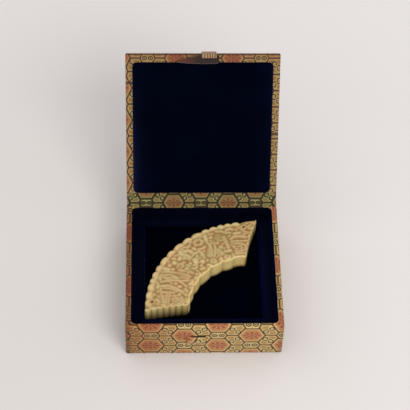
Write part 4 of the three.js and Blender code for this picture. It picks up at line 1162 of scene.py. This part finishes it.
# floor, lights and camera
room = {
    "floor": (tone(211, 206, 204), tone(224, 220, 220), tone(231, 227, 226)), "floorHalf": 1500.0,
    "world": (1.0, 0.99, 0.98, 1), "strength": 0.78, "aim": (0, 0, 0.02),
    "lamps": [("keyLamp", (0.5, -0.95, 1.05), 0.9, 10.5, (1, 0.98, 0.95)),
              ("fillLamp", (-0.9, 0.3, 1.0), 0.9, 1.5, (0.96, 0.98, 1))],
}


def makeLamp(name, place, size, power, colour):
    data = bpy.data.lights.new(name, "AREA")
    data.shape = "DISK"
    data.size = size
    data.energy = power
    data.color = colour
    lamp = bpy.data.objects.new(name, data)
    bpy.context.scene.collection.objects.link(lamp)
    lamp.location = place
    lamp.rotation_euler = (Vector(room["aim"]) - Vector(place)).to_track_quat("-Z", "Y").to_euler()


def makeStage():
    # painted light: the floor pales from left to right and again far back
    corners = np.array([(-1, -1, 0), (1, -1, 0), (1, 1, 0), (-1, 1, 0)]) * room["floorHalf"]
    floor = meshFrom("floor", corners, [[0, 1, 2, 3]], False)
    f = Finish("paleFloor", Roughness=0.9)
    x, y, _ = f.split(f.place())
    left, right, back = room["floor"]
    near = f.mix((x * 2.2 + y * 1.1 + 0.4).clamp(), left, right)
    f.feed(Base_Color=f.mix((y * 4.0 - 0.7).clamp(), near, back))
    floor.data.materials.append(f.material)
    world = bpy.data.worlds.new("softRoom")
    bpy.context.scene.world = world
    world.use_nodes = True
    background = world.node_tree.nodes["Background"]
    background.inputs[0].default_value = room["world"]
    background.inputs[1].default_value = room["strength"]
    for lamp in room["lamps"]:
        makeLamp(*lamp)


view = {"focal": 1463.957, "frame": 410.0, "elevation": 0.899359, "azimuth": -0.053669, "roll": 0.039462,
        "target": (0.0034726, 0.0716534, 0.0), "distance": 1.0162383}


def makeCamera():
    # stands off the target along its own axis, after azimuth, elevation and roll
    data = bpy.data.cameras.new("photoCamera")
    data.sensor_fit = "HORIZONTAL"
    data.angle = 2 * math.atan(view["frame"] / 2 / view["focal"])
    data.clip_start = 0.01
    camera = bpy.data.objects.new("photoCamera", data)
    bpy.context.scene.collection.objects.link(camera)
    camera.matrix_world = (
        Matrix.Translation(view["target"]) @ Matrix.Rotation(view["azimuth"], 4, "Z")
        @ Matrix.Rotation(math.pi / 2 - view["elevation"], 4, "X") @ Matrix.Rotation(view["roll"], 4, "Z")
        @ Matrix.Translation((0, 0, view["distance"])))
    bpy.context.scene.camera = camera


makeStage()
makeCamera()
bpy.context.scene.view_settings.view_transform = "Standard"
print("stage: set and camera ready")
